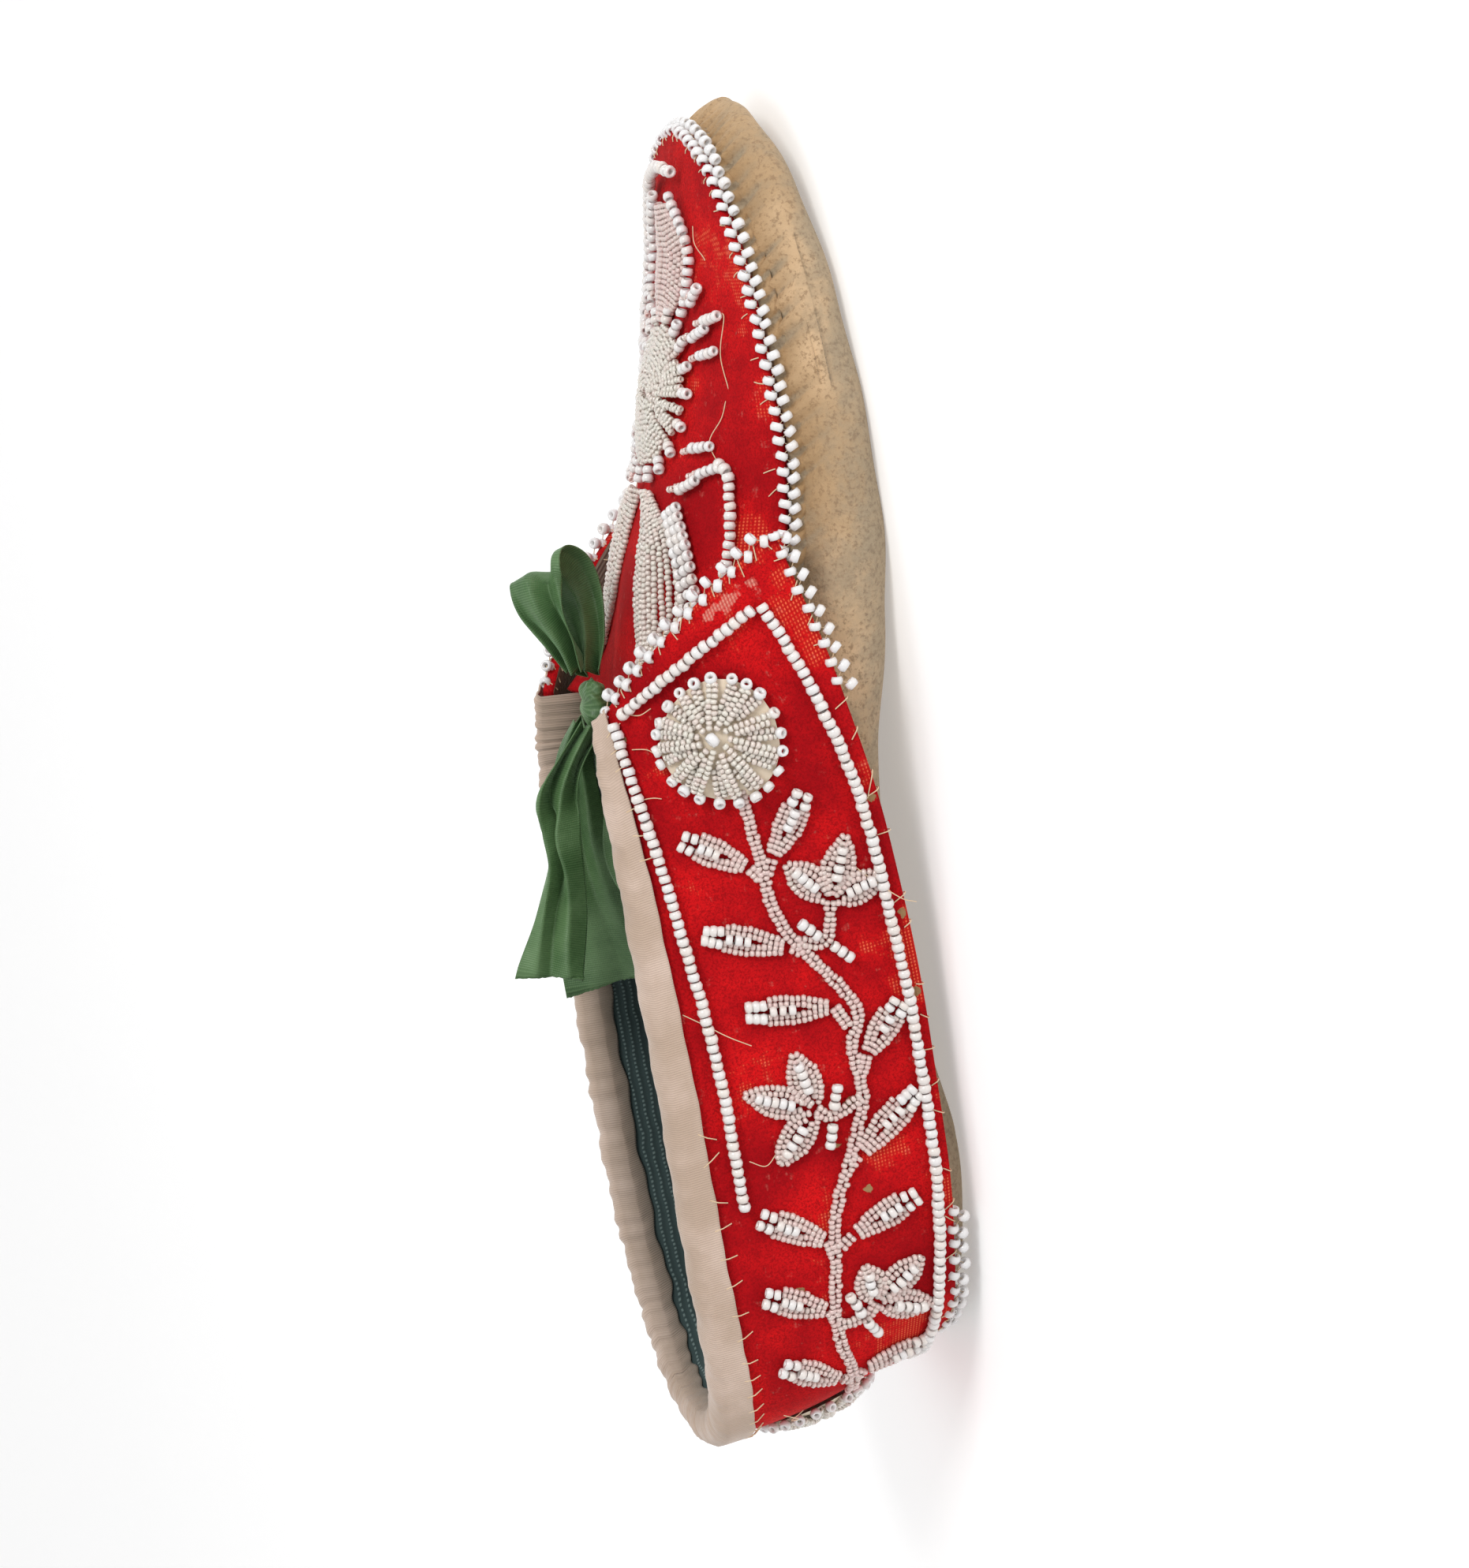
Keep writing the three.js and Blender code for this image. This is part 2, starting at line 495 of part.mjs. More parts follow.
// The cuff's face near one place: how far a millimetre along the shoe and a millimetre down the
// cuff, at right angles, reach in ribs and in shares of the height
function cuffSteps(rib, down) {
  const step = 0.01;
  const perRib = cuffFace(rib + step, down).sub(cuffFace(rib - step, down)).divideScalar(2 * step);
  const perDown = cuffFace(rib, down + step).sub(cuffFace(rib, down - step)).divideScalar(2 * step);
  const slant = perDown.dot(perRib) / perRib.lengthSq();
  const square = perDown.clone().addScaledVector(perRib, -slant).length();
  return { rib: 1 / perRib.length(), down: 1 / square, slant: -slant / square };
}

// A round domed patch of loops of beads on the cuff
function rosette({ rib, down, side }) {
  const steps = cuffSteps(rib, down);
  const spot = (angle, share, out) => {
    const ahead = Math.cos(angle) * share * ROSETTE_RADIUS;
    const below = Math.sin(angle) * share * ROSETTE_RADIUS;
    return cuffPoint(side * (rib + ahead * steps.rib + below * steps.slant), down + below * steps.down, out);
  };
  const dome = (share) => GAP + ROSETTE_RISE * (1 - DOME_FALL * share * share);
  const angles = spread(0, 2 * Math.PI, 14).slice(0, -1);
  const shares = [0, 0.55, 1];
  const options = { round: true, seam: true };
  return slab(angles, shares, (a, s) => spot(a, s, dome(s)), (a, s) => spot(a, s, GAP), options);
}

// The raised beadwork on the vamp, a low cushion that follows the vamp's crown
function vampMotif() {
  const halfShare = along(MOTIF, "half");
  const half = (x) => halfShare(x) * HALF_BALL;
  const surface = vampHeight();
  const spot = (x, share, lift) => vec(x, share * half(x), surface(x, share * half(x)) + lift);
  const xs = spread(MOTIF[0].x * LENGTH, MOTIF.at(-1).x * LENGTH, 14);
  const shares = spread(-1, 1, 6);
  const crown = (share) => GAP + MOTIF_RISE * (1 - DOME_FALL * share * share);
  return slab(xs, shares, (x, s) => spot(x, s, crown(s)), (x, s) => spot(x, s, GAP));
}

// The height of the vamp's top face over a point of the plan
function vampHeight() {
  const last = HIDE_RIBS.length - 1;
  const edge = spread(THROAT_ROW, last, 60).map((rib) => vampTop(rib, 1, 0));
  return (x, y) => {
    const i = clamp(edge.findIndex((point) => point.x >= x), 1, edge.length - 1);
    const t = clamp((x - edge[i - 1].x) / (edge[i].x - edge[i - 1].x), 0, 1);
    const rim = between(edge[i - 1], edge[i], t);
    const share = clamp(Math.abs(y) / Math.max(rim.y, 1), 0, 1);
    return lerp(vampMiddle(x), rim.z, share * share);
  };
}

// A strip of ribbon through its stations, thin and slightly cupped
function ribbonStrip(stations) {
  const line = new THREE.CatmullRomCurve3(stations.map((s) => vec(s.x, s.y, s.z).multiplyScalar(RIBBON_WIDTH).add(KNOT_AT)));
  const across = new THREE.CatmullRomCurve3(stations.map((s) => vec(s.wx, s.wy, s.wz).normalize()));
  const widths = new THREE.CatmullRomCurve3(stations.map((s) => vec(s.width, 0, 0)));
  const spot = (t, share, off) => {
    const tangent = line.getTangent(t);
    const wide = across.getPoint(t);
    wide.addScaledVector(tangent, -wide.dot(tangent)).normalize();
    const normal = tangent.clone().cross(wide);
    const halfWidth = (widths.getPoint(t).x * RIBBON_WIDTH) / 2;
    const cup = RIBBON_CUP * halfWidth * (1 - share * share);
    return line.getPoint(t).addScaledVector(wide, share * halfWidth).addScaledVector(normal, cup + off);
  };
  const steps = spread(0, 1, RIBBON_STEPS);
  return slab(steps, [-1, 0, 1], (t, s) => spot(t, s, RIBBON / 2), (t, s) => spot(t, s, -RIBBON / 2));
}

// The strand that crosses the throat between the binding's inner faces, slack, under the knot
function tieStrand() {
  const end = hideInner(TIE_RIB, 3, HIDE + FOLD_GAP + BINDING + GAP);
  const low = KNOT_AT.z - KNOT_HEIGHT / 2 - GAP - RIBBON;
  const spot = (y, share, off) => vec(
    end.x + (share * TIE_WIDTH) / 2,
    y,
    lerp(low, end.z - TIE_WIDTH / 2, (y / end.y) ** 2) + off,
  );
  return slab(spread(-end.y, end.y, 8), [-1, 0, 1], (y, s) => spot(y, s, RIBBON), (y, s) => spot(y, s, 0));
}

function knotLump() {
  const lump = new THREE.SphereGeometry(0.5, 12, 8).scale(KNOT_LENGTH, KNOT_WIDTH, KNOT_HEIGHT);
  return lump.translate(KNOT_AT.x, KNOT_AT.y, KNOT_AT.z);
}

const hideFinish = new THREE.MeshStandardMaterial({ color: 0xc09a63, roughness: 0.95 });
const velvetFinish = new THREE.MeshStandardMaterial({ color: 0xc4101a, roughness: 0.9 });
const bindingFinish = new THREE.MeshStandardMaterial({ color: 0xd8bfa8, roughness: 0.6 });
const whiteBeadFinish = new THREE.MeshStandardMaterial({ color: 0xf2efee, roughness: 0.25 });
const clearBeadFinish = new THREE.MeshStandardMaterial({ color: 0xdccdbd, roughness: 0.2 });
const ribbonFinish = new THREE.MeshStandardMaterial({ color: 0x2e6a35, roughness: 0.5 });

// The shoe stands in a group whose origin moves from the back of the heel to its middle
const moccasin = new THREE.Group();
moccasin.position.x = -HEEL_FROM_BACK;

function add(name, geometry, material) {
  const mesh = new THREE.Mesh(geometry, material);
  mesh.name = name;
  moccasin.add(mesh);
}

add("hide_bag", hideBag(), hideFinish);
add("vamp_panel", vamp(), velvetFinish);
add("cuff", cuff(), velvetFinish);
add("collar_binding", binding(), bindingFinish);
add("vamp_bead_string", vampString(), whiteBeadFinish);
add("hem_bead_string", hemString(), whiteBeadFinish);
add("outline_bead_string_right", outlineString(-1), whiteBeadFinish);
add("outline_bead_string_left", outlineString(1), whiteBeadFinish);
for (const place of ROSETTES) add(place.name, rosette(place), clearBeadFinish);
add("vamp_motif", vampMotif(), clearBeadFinish);
add("tie_strand", tieStrand(), ribbonFinish);
add("ribbon_knot", knotLump(), ribbonFinish);
for (const [name, stations] of Object.entries(BOW)) add(name, ribbonStrip(stations), ribbonFinish);

export default moccasin;
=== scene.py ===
# %% [markdown]
# # A beaded moccasin
# The shoe is sewn from one piece of smoked hide that is gathered to a red velvet vamp. A deep
# velvet cuff hangs from the collar, and glass seed beads outline every edge and draw a stem with
# leaves, flowers and rosettes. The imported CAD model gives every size. Each of its solids is
# replaced here by a finer piece in the same place.

# %% The frame and the driving sizes
import math

import bpy
import numpy as np
from mathutils import Matrix, Vector


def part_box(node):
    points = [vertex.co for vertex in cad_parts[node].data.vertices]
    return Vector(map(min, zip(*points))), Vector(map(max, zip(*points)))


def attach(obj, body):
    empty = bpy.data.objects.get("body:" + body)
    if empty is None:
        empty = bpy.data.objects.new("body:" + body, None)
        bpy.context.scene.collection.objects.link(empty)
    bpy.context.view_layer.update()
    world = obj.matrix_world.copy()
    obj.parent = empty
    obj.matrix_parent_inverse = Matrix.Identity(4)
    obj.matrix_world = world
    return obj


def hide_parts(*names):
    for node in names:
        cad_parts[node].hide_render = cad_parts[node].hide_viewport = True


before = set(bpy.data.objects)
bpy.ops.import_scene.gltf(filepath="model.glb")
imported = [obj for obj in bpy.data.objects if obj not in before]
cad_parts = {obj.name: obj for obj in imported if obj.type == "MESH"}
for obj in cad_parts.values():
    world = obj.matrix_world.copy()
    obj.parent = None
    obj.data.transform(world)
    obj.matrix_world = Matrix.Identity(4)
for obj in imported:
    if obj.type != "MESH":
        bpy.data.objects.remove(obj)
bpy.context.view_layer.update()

MM = 0.001
HEEL_SHARE = 0.115  # the origin is this share of the length ahead of the back of the heel
hide_high = np.array(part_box("hide_bag")[1]) / MM
LENGTH = hide_high[0] / (1 - HEEL_SHARE)
HALF_BALL = hide_high[1]
COLLAR_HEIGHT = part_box("cuff")[1][2] / MM
HIDE = 1.8  # thicknesses, as in the CAD model
CLOTH = 2.2
dice = np.random.default_rng(7)
print(f"length {LENGTH:.1f}, half width {HALF_BALL:.1f}, collar {COLLAR_HEIGHT:.1f} mm")

# %% [markdown]
# ## The camera
# The photograph shows the shoe from its right side with the toe up, so the camera looks at the
# right side from a little towards the toe and a little above the floor, and is rolled until the
# toe points up. It could be placed by hand in the viewport. Here three angles, a distance and a
# share of the picture say where it stands, so it still frames the shoe when the sizes change. It
# is made first, because the framing only needs the CAD model.

# %% The camera
IMAGE_WIDTH, IMAGE_HEIGHT = 1862, 1988
AZIMUTH, ELEVATION, ROLL = math.radians(10.8), math.radians(14.5), math.radians(101.5)
DISTANCE = 0.9
FILL = 0.86  # share of the picture's height that the shoe takes


def add_object(name, data):
    """A new object in the scene that shows these data."""
    new_object = bpy.data.objects.new(name, data)
    bpy.context.collection.objects.link(new_object)
    return new_object


view = np.array([
    -math.sin(AZIMUTH) * math.cos(ELEVATION),
    math.cos(AZIMUTH) * math.cos(ELEVATION),
    -math.sin(ELEVATION),
])
level = np.array([math.cos(AZIMUTH), math.sin(AZIMUTH), 0])
upright = np.cross(level, view)
right = math.cos(ROLL) * level - math.sin(ROLL) * upright
up = math.sin(ROLL) * level + math.cos(ROLL) * upright

corners = []
for cad_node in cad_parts.values():
    spots = np.empty(len(cad_node.data.vertices) * 3)
    cad_node.data.vertices.foreach_get("co", spots)
    corners.append(spots.reshape(-1, 3))
corners = np.vstack(corners)
across, along = corners @ right, corners @ up
target = (
    right * (across.max() + across.min()) / 2
    + up * (along.max() + along.min()) / 2
    + view * (corners @ view).mean()
)

camera_data = bpy.data.cameras.new("camera")
camera_data.sensor_fit = "HORIZONTAL"
focal_pixels = FILL * IMAGE_HEIGHT * DISTANCE / (along.max() - along.min())
camera_data.lens = camera_data.sensor_width * focal_pixels / IMAGE_WIDTH
camera = add_object("camera", camera_data)
camera.matrix_world = Matrix([
    [right[i], up[i], -view[i], (target - DISTANCE * view)[i]] for i in range(3)
] + [[0, 0, 0, 1]])
bpy.context.scene.camera = camera
print(f"lens {camera_data.lens:.0f} mm, camera {camera.location.z:.3f} m above the floor")

# %% [markdown]
# ## The shape of the shoe
# A last has no simple shape, so it is described by ribs. A rib of the hide runs from the sole's
# edge over the widest place of the side to the rim, and a rib of the cuff from its top edge to its
# hem. Row 0 is the middle of the heel and the last row the middle of the toe, or the cuff's front
# edge. x is a share of the length from the back of the heel, y of half the width at the ball and
# z of the collar's height. A shoe could also be sculpted, but the same tables shaped the CAD
# solids, so every piece that is made from them lands in its place.

# %% The ribs
HIDE_RIBS = {
    "soleX": (.04, .053, .089, .17, .265, .385, .49, .59, .68, .765, .845, .91, .945, .952),
    "soleY": (0, .31, .53, .62, .61, .64, .73, .82, .87, .85, .73, .52, .26, 0),
    "soleZ": (0, 0, 0, 0, .055, .125, .095, .025, 0, 0, .012, .035, .05, .055),
    "sideX": (0, .016, .058, .15, .262, .39, .495, .585, .675, .765, .855, .932, .984, 1),
    "sideY": (0, .39, .62, .74, .75, .79, .88, .97, 1, .975, .855, .62, .33, 0),
    "sideZ": (.19, .19, .19, .2, .24, .27, .27, .22, .14, .12, .12, .12, .125, .125),
    "rimX": (-.055, -.038, .022, .128, .26, .39, .49, .545, .65, .745, .832, .908, .96, .976),
    "rimY": (0, .295, .51, .595, .625, .6, .52, .48, .845, .835, .735, .555, .315, 0),
    "rimZ": (.905, .91, .93, .955, .965, .97, .96, .84, .31, .25, .25, .255, .26, .26),
}
CUFF_RIBS = {
    "topX": (-.069, -.051, .012, .122, .255, .38, .48, .548),
    "topY": (0, .355, .575, .665, .695, .672, .595, .5),
    "topZ": (.925, .93, .95, .98, .99, 1, 1, .985),
    "hemX": (-.018, -.001, .04, .15, .285, .42, .56, .68),
    "hemY": (0, .43, .69, .85, .925, .98, 1.035, 1.02),
    "hemZ": (.125, .115, .1, .092, .105, .155, .265, .415),
    "belly": (.05, .045, .03, .012, .005, .015, .05, .06),
}
VAMP_MIDDLE = {"x": (.545, .62, .717, .805, .885), "z": (.835, .745, .585, .465, .375)}
THROAT_ROW = 7
TOE_ROW = 13
CUFF_END = 7
SPINE = (2.3, 10.5)  # the ribs between which the sole has a middle line
WALL_UPRIGHT = 0.22
VAMP_OVERHANG = 1.0
RIM_GAP = 0.85

# %% A smooth way from rib to rib
def column(values, at, crosses):
    """A smooth curve through evenly counted values; it is level at its ends unless it crosses them."""
    values = np.asarray(values, float)
    last = len(values) - 1
    rise = np.diff(values)
    slope = np.zeros(len(values))
    if crosses:
        slope[[0, -1]] = rise[[0, -1]]
    before, after = rise[:-1], rise[1:]
    same = before * after > 0
    slope[1:-1][same] = 2 * before[same] * after[same] / (before + after)[same]
    i = np.clip(np.floor(at).astype(int), 0, last - 1)
    t = at - i
    return (
        values[i] + rise[i] * t * t * (3 - 2 * t)
        + slope[i] * t * (1 - t) ** 2 - slope[i + 1] * t * t * (1 - t)
    )


def rib_point(table, part, rib, open_front=False):
    """Points in mm on the ribs; a negative rib is on the shoe's right side."""
    rib = np.asarray(rib, float)
    at = np.abs(rib)
    spots = []
    for axis, scale in (("X", LENGTH), ("Y", HALF_BALL), ("Z", COLLAR_HEIGHT)):
        values = column(table[part + axis], at, axis == "Y")
        if open_front:
            values = np.where(at > 1, column(table[part + axis], at, True), values)
        spots.append(values * scale)
    spots[0] = spots[0] - HEEL_SHARE * LENGTH
    spots[1] = spots[1] * np.where(rib < 0, -1, 1)
    return np.stack(spots, -1)


def unit(vectors):
    return vectors / np.maximum(np.linalg.norm(vectors, axis=-1, keepdims=True), 1e-9)


def normal_of(surface, u, v):
    """The unit normal of a surface at (u, v), by small differences."""
    along_u = surface(u + 0.02, v) - surface(u - 0.02, v)
    along_v = surface(u, v + 0.01) - surface(u, v - 0.01)
    return unit(np.cross(along_u, along_v))


def bend(a, corner, b, t):
    """A quadratic curve from a to b that leaves a towards the corner."""
    return (1 - t) ** 2 * a + 2 * t * (1 - t) * corner + t * t * b


# %% [markdown]
# The hide's outside is a curve up each rib. It is flat under the sole, rounds into the side and
# leans in to the rim. The inside is the same surface, moved inwards along its normals.

# %% The hide's surface
def sole_middle(rib):
    middle = rib_point(HIDE_RIBS, "sole", np.clip(np.abs(rib), *SPINE))
    middle[..., 1] = 0
    return middle


def hide_outer(rib, up):
    """The hide's outside: up 0 is the sole's middle line, 1 its edge, 2 the side and 3 the rim."""
    rib, up = np.broadcast_arrays(np.asarray(rib, float), np.asarray(up, float))
    edge, side, rim = (rib_point(HIDE_RIBS, part, rib) for part in ("sole", "side", "rim"))
    share = up[..., None]
    under = np.concatenate([side[..., :2], edge[..., 2:]], -1)
    wall_z = side[..., 2:] + WALL_UPRIGHT * (rim[..., 2:] - side[..., 2:])
    wall = np.concatenate([side[..., :2], wall_z], -1)
    sole = sole_middle(rib) * (1 - share) + edge * share
    low = bend(edge, under, side, share - 1)
    high = bend(side, wall, rim, share - 2)
    return np.where(share <= 1, sole, np.where(share <= 2, low, high))


def hide_inner(rib, up, depth):
    """The hide's surface moved inwards by depth."""
    rib, up = np.broadcast_arrays(np.asarray(rib, float), np.asarray(up, float))
    spot = hide_outer(rib, up)
    inwards = normal_of(hide_outer, rib, np.clip(up, 0.5, 2.98))
    middle = sole_middle(rib)
    middle[..., 2] = COLLAR_HEIGHT / 2
    inwards = inwards * np.where(((middle - spot) * inwards).sum(-1) < 0, -1, 1)[..., None]
    return spot + inwards * depth


# %% [markdown]
# The cuff falls from its top edge to its hem with a slight belly, and stiff velvet never hangs
# quite straight, so soft waves grow towards the hem. Beads, stitches and holes are placed on it by
# a rib and a share of the way down.

# %% The cuff's surface
def cuff_wave(rib, down):
    """The cuff's soft waves in mm, deepest at the hem."""
    return down * (
        0.55 * np.sin(1.9 * rib + 0.6) + 0.35 * np.sin(4.3 * rib + 1.9 * down)
        + 0.25 * np.sin(7.1 * rib - 2.2 * down)
    )


def cuff_face(rib, down):
    rib, down = np.broadcast_arrays(np.asarray(rib, float), np.asarray(down, float))
    top, hem = (rib_point(CUFF_RIBS, part, rib, True) for part in ("top", "hem"))
    spot = top + (hem - top) * down[..., None]
    step = 0.02
    after, before = (rib_point(CUFF_RIBS, "top", rib + way * step, True) for way in (1, -1))
    along_top = after - before
    outwards = face_out(unit(np.cross(along_top, hem - top)), spot)
    at = np.abs(rib)
    belly = np.where(at > 1, *(column(CUFF_RIBS["belly"], at, crosses) for crosses in (True, False)))
    swell = belly * COLLAR_HEIGHT * np.sin(np.pi * down) + cuff_wave(rib, down)
    return spot + outwards * swell[..., None]


def face_out(normals, spots):
    """Turns normals away from a point in the middle of the collar."""
    from_middle = spots - np.array([(0.35 - HEEL_SHARE) * LENGTH, 0, 0])
    from_middle[..., 2] = 0
    return normals * np.where((normals * from_middle).sum(-1) < 0, -1, 1)[..., None]


def cuff_point(rib, down, out):
    """Points out mm off the cuff's outer face, and the normals there."""
    rib, down = np.broadcast_arrays(np.asarray(rib, float), np.asarray(down, float))
    spot = cuff_face(rib, down)
    normals = face_out(normal_of(cuff_face, rib, down), spot)
    return spot + normals * np.asarray(out, float)[..., None], normals


# %% [markdown]
# The vamp is an arch across the foot. Its edge follows the rim and its crown a middle line that
# falls from the throat to the toe.

# %% The vamp's surface
THROAT_X = rib_point(HIDE_RIBS, "rim", THROAT_ROW)[0]
VAMP_END_X = sole_middle(np.array(SPINE[1]))[0]


def vamp_middle(x):
    """The height of the vamp's middle line."""
    share = np.clip(x / LENGTH + HEEL_SHARE, VAMP_MIDDLE["x"][0], VAMP_MIDDLE["x"][-1])
    at = np.interp(share, VAMP_MIDDLE["x"], range(len(VAMP_MIDDLE["x"])))
    return column(VAMP_MIDDLE["z"], at, True) * COLLAR_HEIGHT


def vamp_top(rib, across):
    """The vamp's top face: across 0 is its middle line and 1 its edge."""
    rib, across = np.broadcast_arrays(np.asarray(rib, float), np.asarray(across, float))
    rim = rib_point(HIDE_RIBS, "rim", rib)
    step = 0.02
    line = rib_point(HIDE_RIBS, "rim", rib + step) - rib_point(HIDE_RIBS, "rim", rib - step)
    outwards = unit(np.stack([line[..., 1], -line[..., 0], 0 * rib], -1))
    wrong = (outwards[..., 1] * rim[..., 1] < 0) | ((np.abs(rim[..., 1]) < 1e-6) & (outwards[..., 0] < 0))
    outwards = outwards * np.where(wrong, -1, 1)[..., None]
    edge = rim + VAMP_OVERHANG * outwards
    edge[..., 0] = np.maximum(edge[..., 0], THROAT_X)
    middle_x = np.clip(rim[..., 0], THROAT_X, VAMP_END_X)
    x = middle_x + (edge[..., 0] - middle_x) * across
    y = edge[..., 1] * across
    edge_z = rim[..., 2] + RIM_GAP + CLOTH
    crown = vamp_middle(middle_x)
    z = crown + (edge_z - crown) * across * across
    return np.stack([x, y, z], -1)


vamp_edge_line = vamp_top(np.linspace(THROAT_ROW, TOE_ROW, 90), 1.0)


def vamp_height(x, y):
    """The height of the vamp's top face over points of the plan."""
    order = np.argsort(vamp_edge_line[:, 0])
    half = np.interp(x, vamp_edge_line[order, 0], vamp_edge_line[order, 1])
    edge_z = np.interp(x, vamp_edge_line[order, 0], vamp_edge_line[order, 2])
    share = np.clip(np.abs(y) / np.maximum(half, 1), 0, 1)
    crown = vamp_middle(x)
    return crown + (edge_z - crown) * share * share


def vamp_point(x, y, out):
    """Points out mm off the vamp at (x, y) of the plan, and the normals there."""
    x, y = np.broadcast_arrays(np.asarray(x, float), np.asarray(y, float))
    step = 0.4
    slope_x = (vamp_height(x + step, y) - vamp_height(x - step, y)) / (2 * step)
    slope_y = (vamp_height(x, y + step) - vamp_height(x, y - step)) / (2 * step)
    normals = unit(np.stack([-slope_x, -slope_y, np.ones_like(x)], -1))
    spot = np.stack([x, y, vamp_height(x, y)], -1)
    return spot + normals * np.asarray(out, float)[..., None], normals


print(f"the vamp runs from x = {THROAT_X:.0f} to {vamp_edge_line[:, 0].max():.0f} mm")

# %% [markdown]
# ## Sheets from a grid
# Hide, velvet and lining are sheets. Cloth can be draped by a simulation, but these are sewn down
# and stiffened all round, so their shape is known. Each starts as a flat primitive grid whose
# vertices are then moved onto the surface, row by row. The grid's own faces and UV map stay, so
# the map is only stretched until one unit of it is one centimetre of cloth, and the weave has its
# real size.

# %% A sheet and its wall
def only(piece):
    """Makes a piece the only selected one."""
    bpy.ops.object.select_all(action="DESELECT")
    piece.select_set(True)
    bpy.context.view_layer.objects.active = piece


def grid_sheet(name, spots, *finishes):
    """A grid moved onto spots, which are rows of points in mm, with its outer and inner finish."""
    rows, columns = spots.shape[:2]
    bpy.ops.object.select_all(action="DESELECT")
    bpy.ops.mesh.primitive_grid_add(x_subdivisions=columns - 1, y_subdivisions=rows - 1)
    piece = bpy.context.object
    piece.name = name
    mesh = piece.data
    mesh.name = name
    mesh.vertices.foreach_set("co", (spots * MM).reshape(-1))
    along_rows = np.linalg.norm(np.diff(spots, axis=1), axis=2)
    across_rows = np.linalg.norm(np.diff(spots, axis=0), axis=2)
    u = np.concatenate([[0], np.cumsum(along_rows.mean(0))]) / 10
    v = np.concatenate([[0], np.cumsum(across_rows.mean(1))]) / 10
    uv = np.stack(np.broadcast_arrays(u[None, :], v[:, None]), -1).reshape(-1, 2)
    corner_vertices = np.empty(len(mesh.loops), int)
    mesh.loops.foreach_get("vertex_index", corner_vertices)
    mesh.uv_layers.active.data.foreach_set("uv", uv[corner_vertices].reshape(-1))
    for one in finishes:
        mesh.materials.append(one)
    bpy.ops.object.shade_smooth()
    return piece


def weld(piece, reach=0.01):
    """Closes the seams where a sheet meets itself, and turns its faces outwards."""
    only(piece)
    bpy.ops.object.mode_set(mode="EDIT")
    bpy.ops.mesh.select_all(action="SELECT")
    bpy.ops.mesh.remove_doubles(threshold=reach * MM)
    bpy.ops.mesh.normals_make_consistent(inside=False)
    bpy.ops.object.mode_set(mode="OBJECT")


def thicken(piece, thickness, offset=-1):
    """Gives a sheet its wall, towards the inside or to both sides, and applies it."""
    only(piece)
    solidify = piece.modifiers.new("wall", "SOLIDIFY")
    solidify.thickness = thickness * MM
    solidify.offset = offset
    solidify.use_even_offset = False
    solidify.material_offset = 1 if len(piece.data.materials) > 1 else 0
    bpy.ops.object.modifier_apply(modifier="wall")


# %% Marks, moves and the frame's own calls
def note(piece, name, values):
    """Stores one number for each vertex, for a material to read."""
    piece.data.attributes.new(name, "FLOAT", "POINT").data.foreach_set("value", values.reshape(-1))


def push(spots, amount):
    """Moves a grid of points along its own normals."""
    normals = unit(np.cross(np.gradient(spots, axis=1), np.gradient(spots, axis=0)))
    return spots + normals * amount[..., None]


def place(piece, slot, *nodes):
    """Rides the piece on the shoe and hides the CAD nodes it stands for; the slot is not used."""
    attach(piece, "root")
    if nodes:
        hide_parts(*nodes)
    print(f"{piece.name}: {len(piece.data.polygons)} faces")


def cut_from(piece, spots, held, *rests_on):
    """Prints the size that a sheet was cut to, measured over its own grid."""
    length = np.linalg.norm(np.diff(spots, axis=1), axis=2).sum(1).max()
    width = np.linalg.norm(np.diff(spots, axis=0), axis=2).sum(0).max()
    corner = spots[:-1, :-1]
    area = np.linalg.norm(np.cross(spots[1:, :-1] - corner, spots[:-1, 1:] - corner), axis=2).sum()
    area = min(area, width * length)
    print(f"  cut {width:.0f} x {length:.0f} mm, {area / 100:.0f} square cm")


# %% [markdown]
# ## Helpers for finishes
# A finish is a node tree round one Principled shader. The trees could be drawn in the shader
# editor. In code, a helper adds one node, or a small group of nodes that is used often, and each
# finish then reads like a recipe. What is the same all over a surface is set on the shader itself.

# %% Nodes
def finish(name, sockets):
    """A new material whose shader has these values."""
    material = bpy.data.materials.new(name)
    material.use_nodes = True
    shader = material.node_tree.nodes["Principled BSDF"]
    for socket, value in sockets.items():
        shader.inputs[socket].default_value = value
    return material


def add_node(material, kind, inputs=None, **settings):
    """Adds a node; an input is a value or another node's output."""
    node = material.node_tree.nodes.new(kind)
    for setting, value in settings.items():
        setattr(node, setting, value)
    for socket, value in (inputs or {}).items():
        feed(material, node.inputs[socket], value)
    return node


def feed(material, socket, value):
    if isinstance(value, bpy.types.NodeSocket):
        material.node_tree.links.new(value, socket)
    else:
        socket.default_value = value


def drive(material, socket, value):
    """Links a value to the material's shader."""
    feed(material, material.node_tree.nodes["Principled BSDF"].inputs[socket], value)


def object_place(material):
    return add_node(material, "ShaderNodeTexCoord").outputs["Object"]


def cloth_place(material):
    return add_node(material, "ShaderNodeTexCoord").outputs["UV"]


def noted(material, name):
    return add_node(material, "ShaderNodeAttribute", attribute_name=name).outputs["Fac"]


# %% Patterns and mixes
def noise(material, where, scale, detail=3.0, rough=0.55):
    inputs = {"Vector": where, "Scale": scale, "Detail": detail, "Roughness": rough}
    return add_node(material, "ShaderNodeTexNoise", inputs).outputs["Fac"]


def added(material, first, second):
    return add_node(material, "ShaderNodeMath", {0: first, 1: second}, operation="ADD").outputs[0]


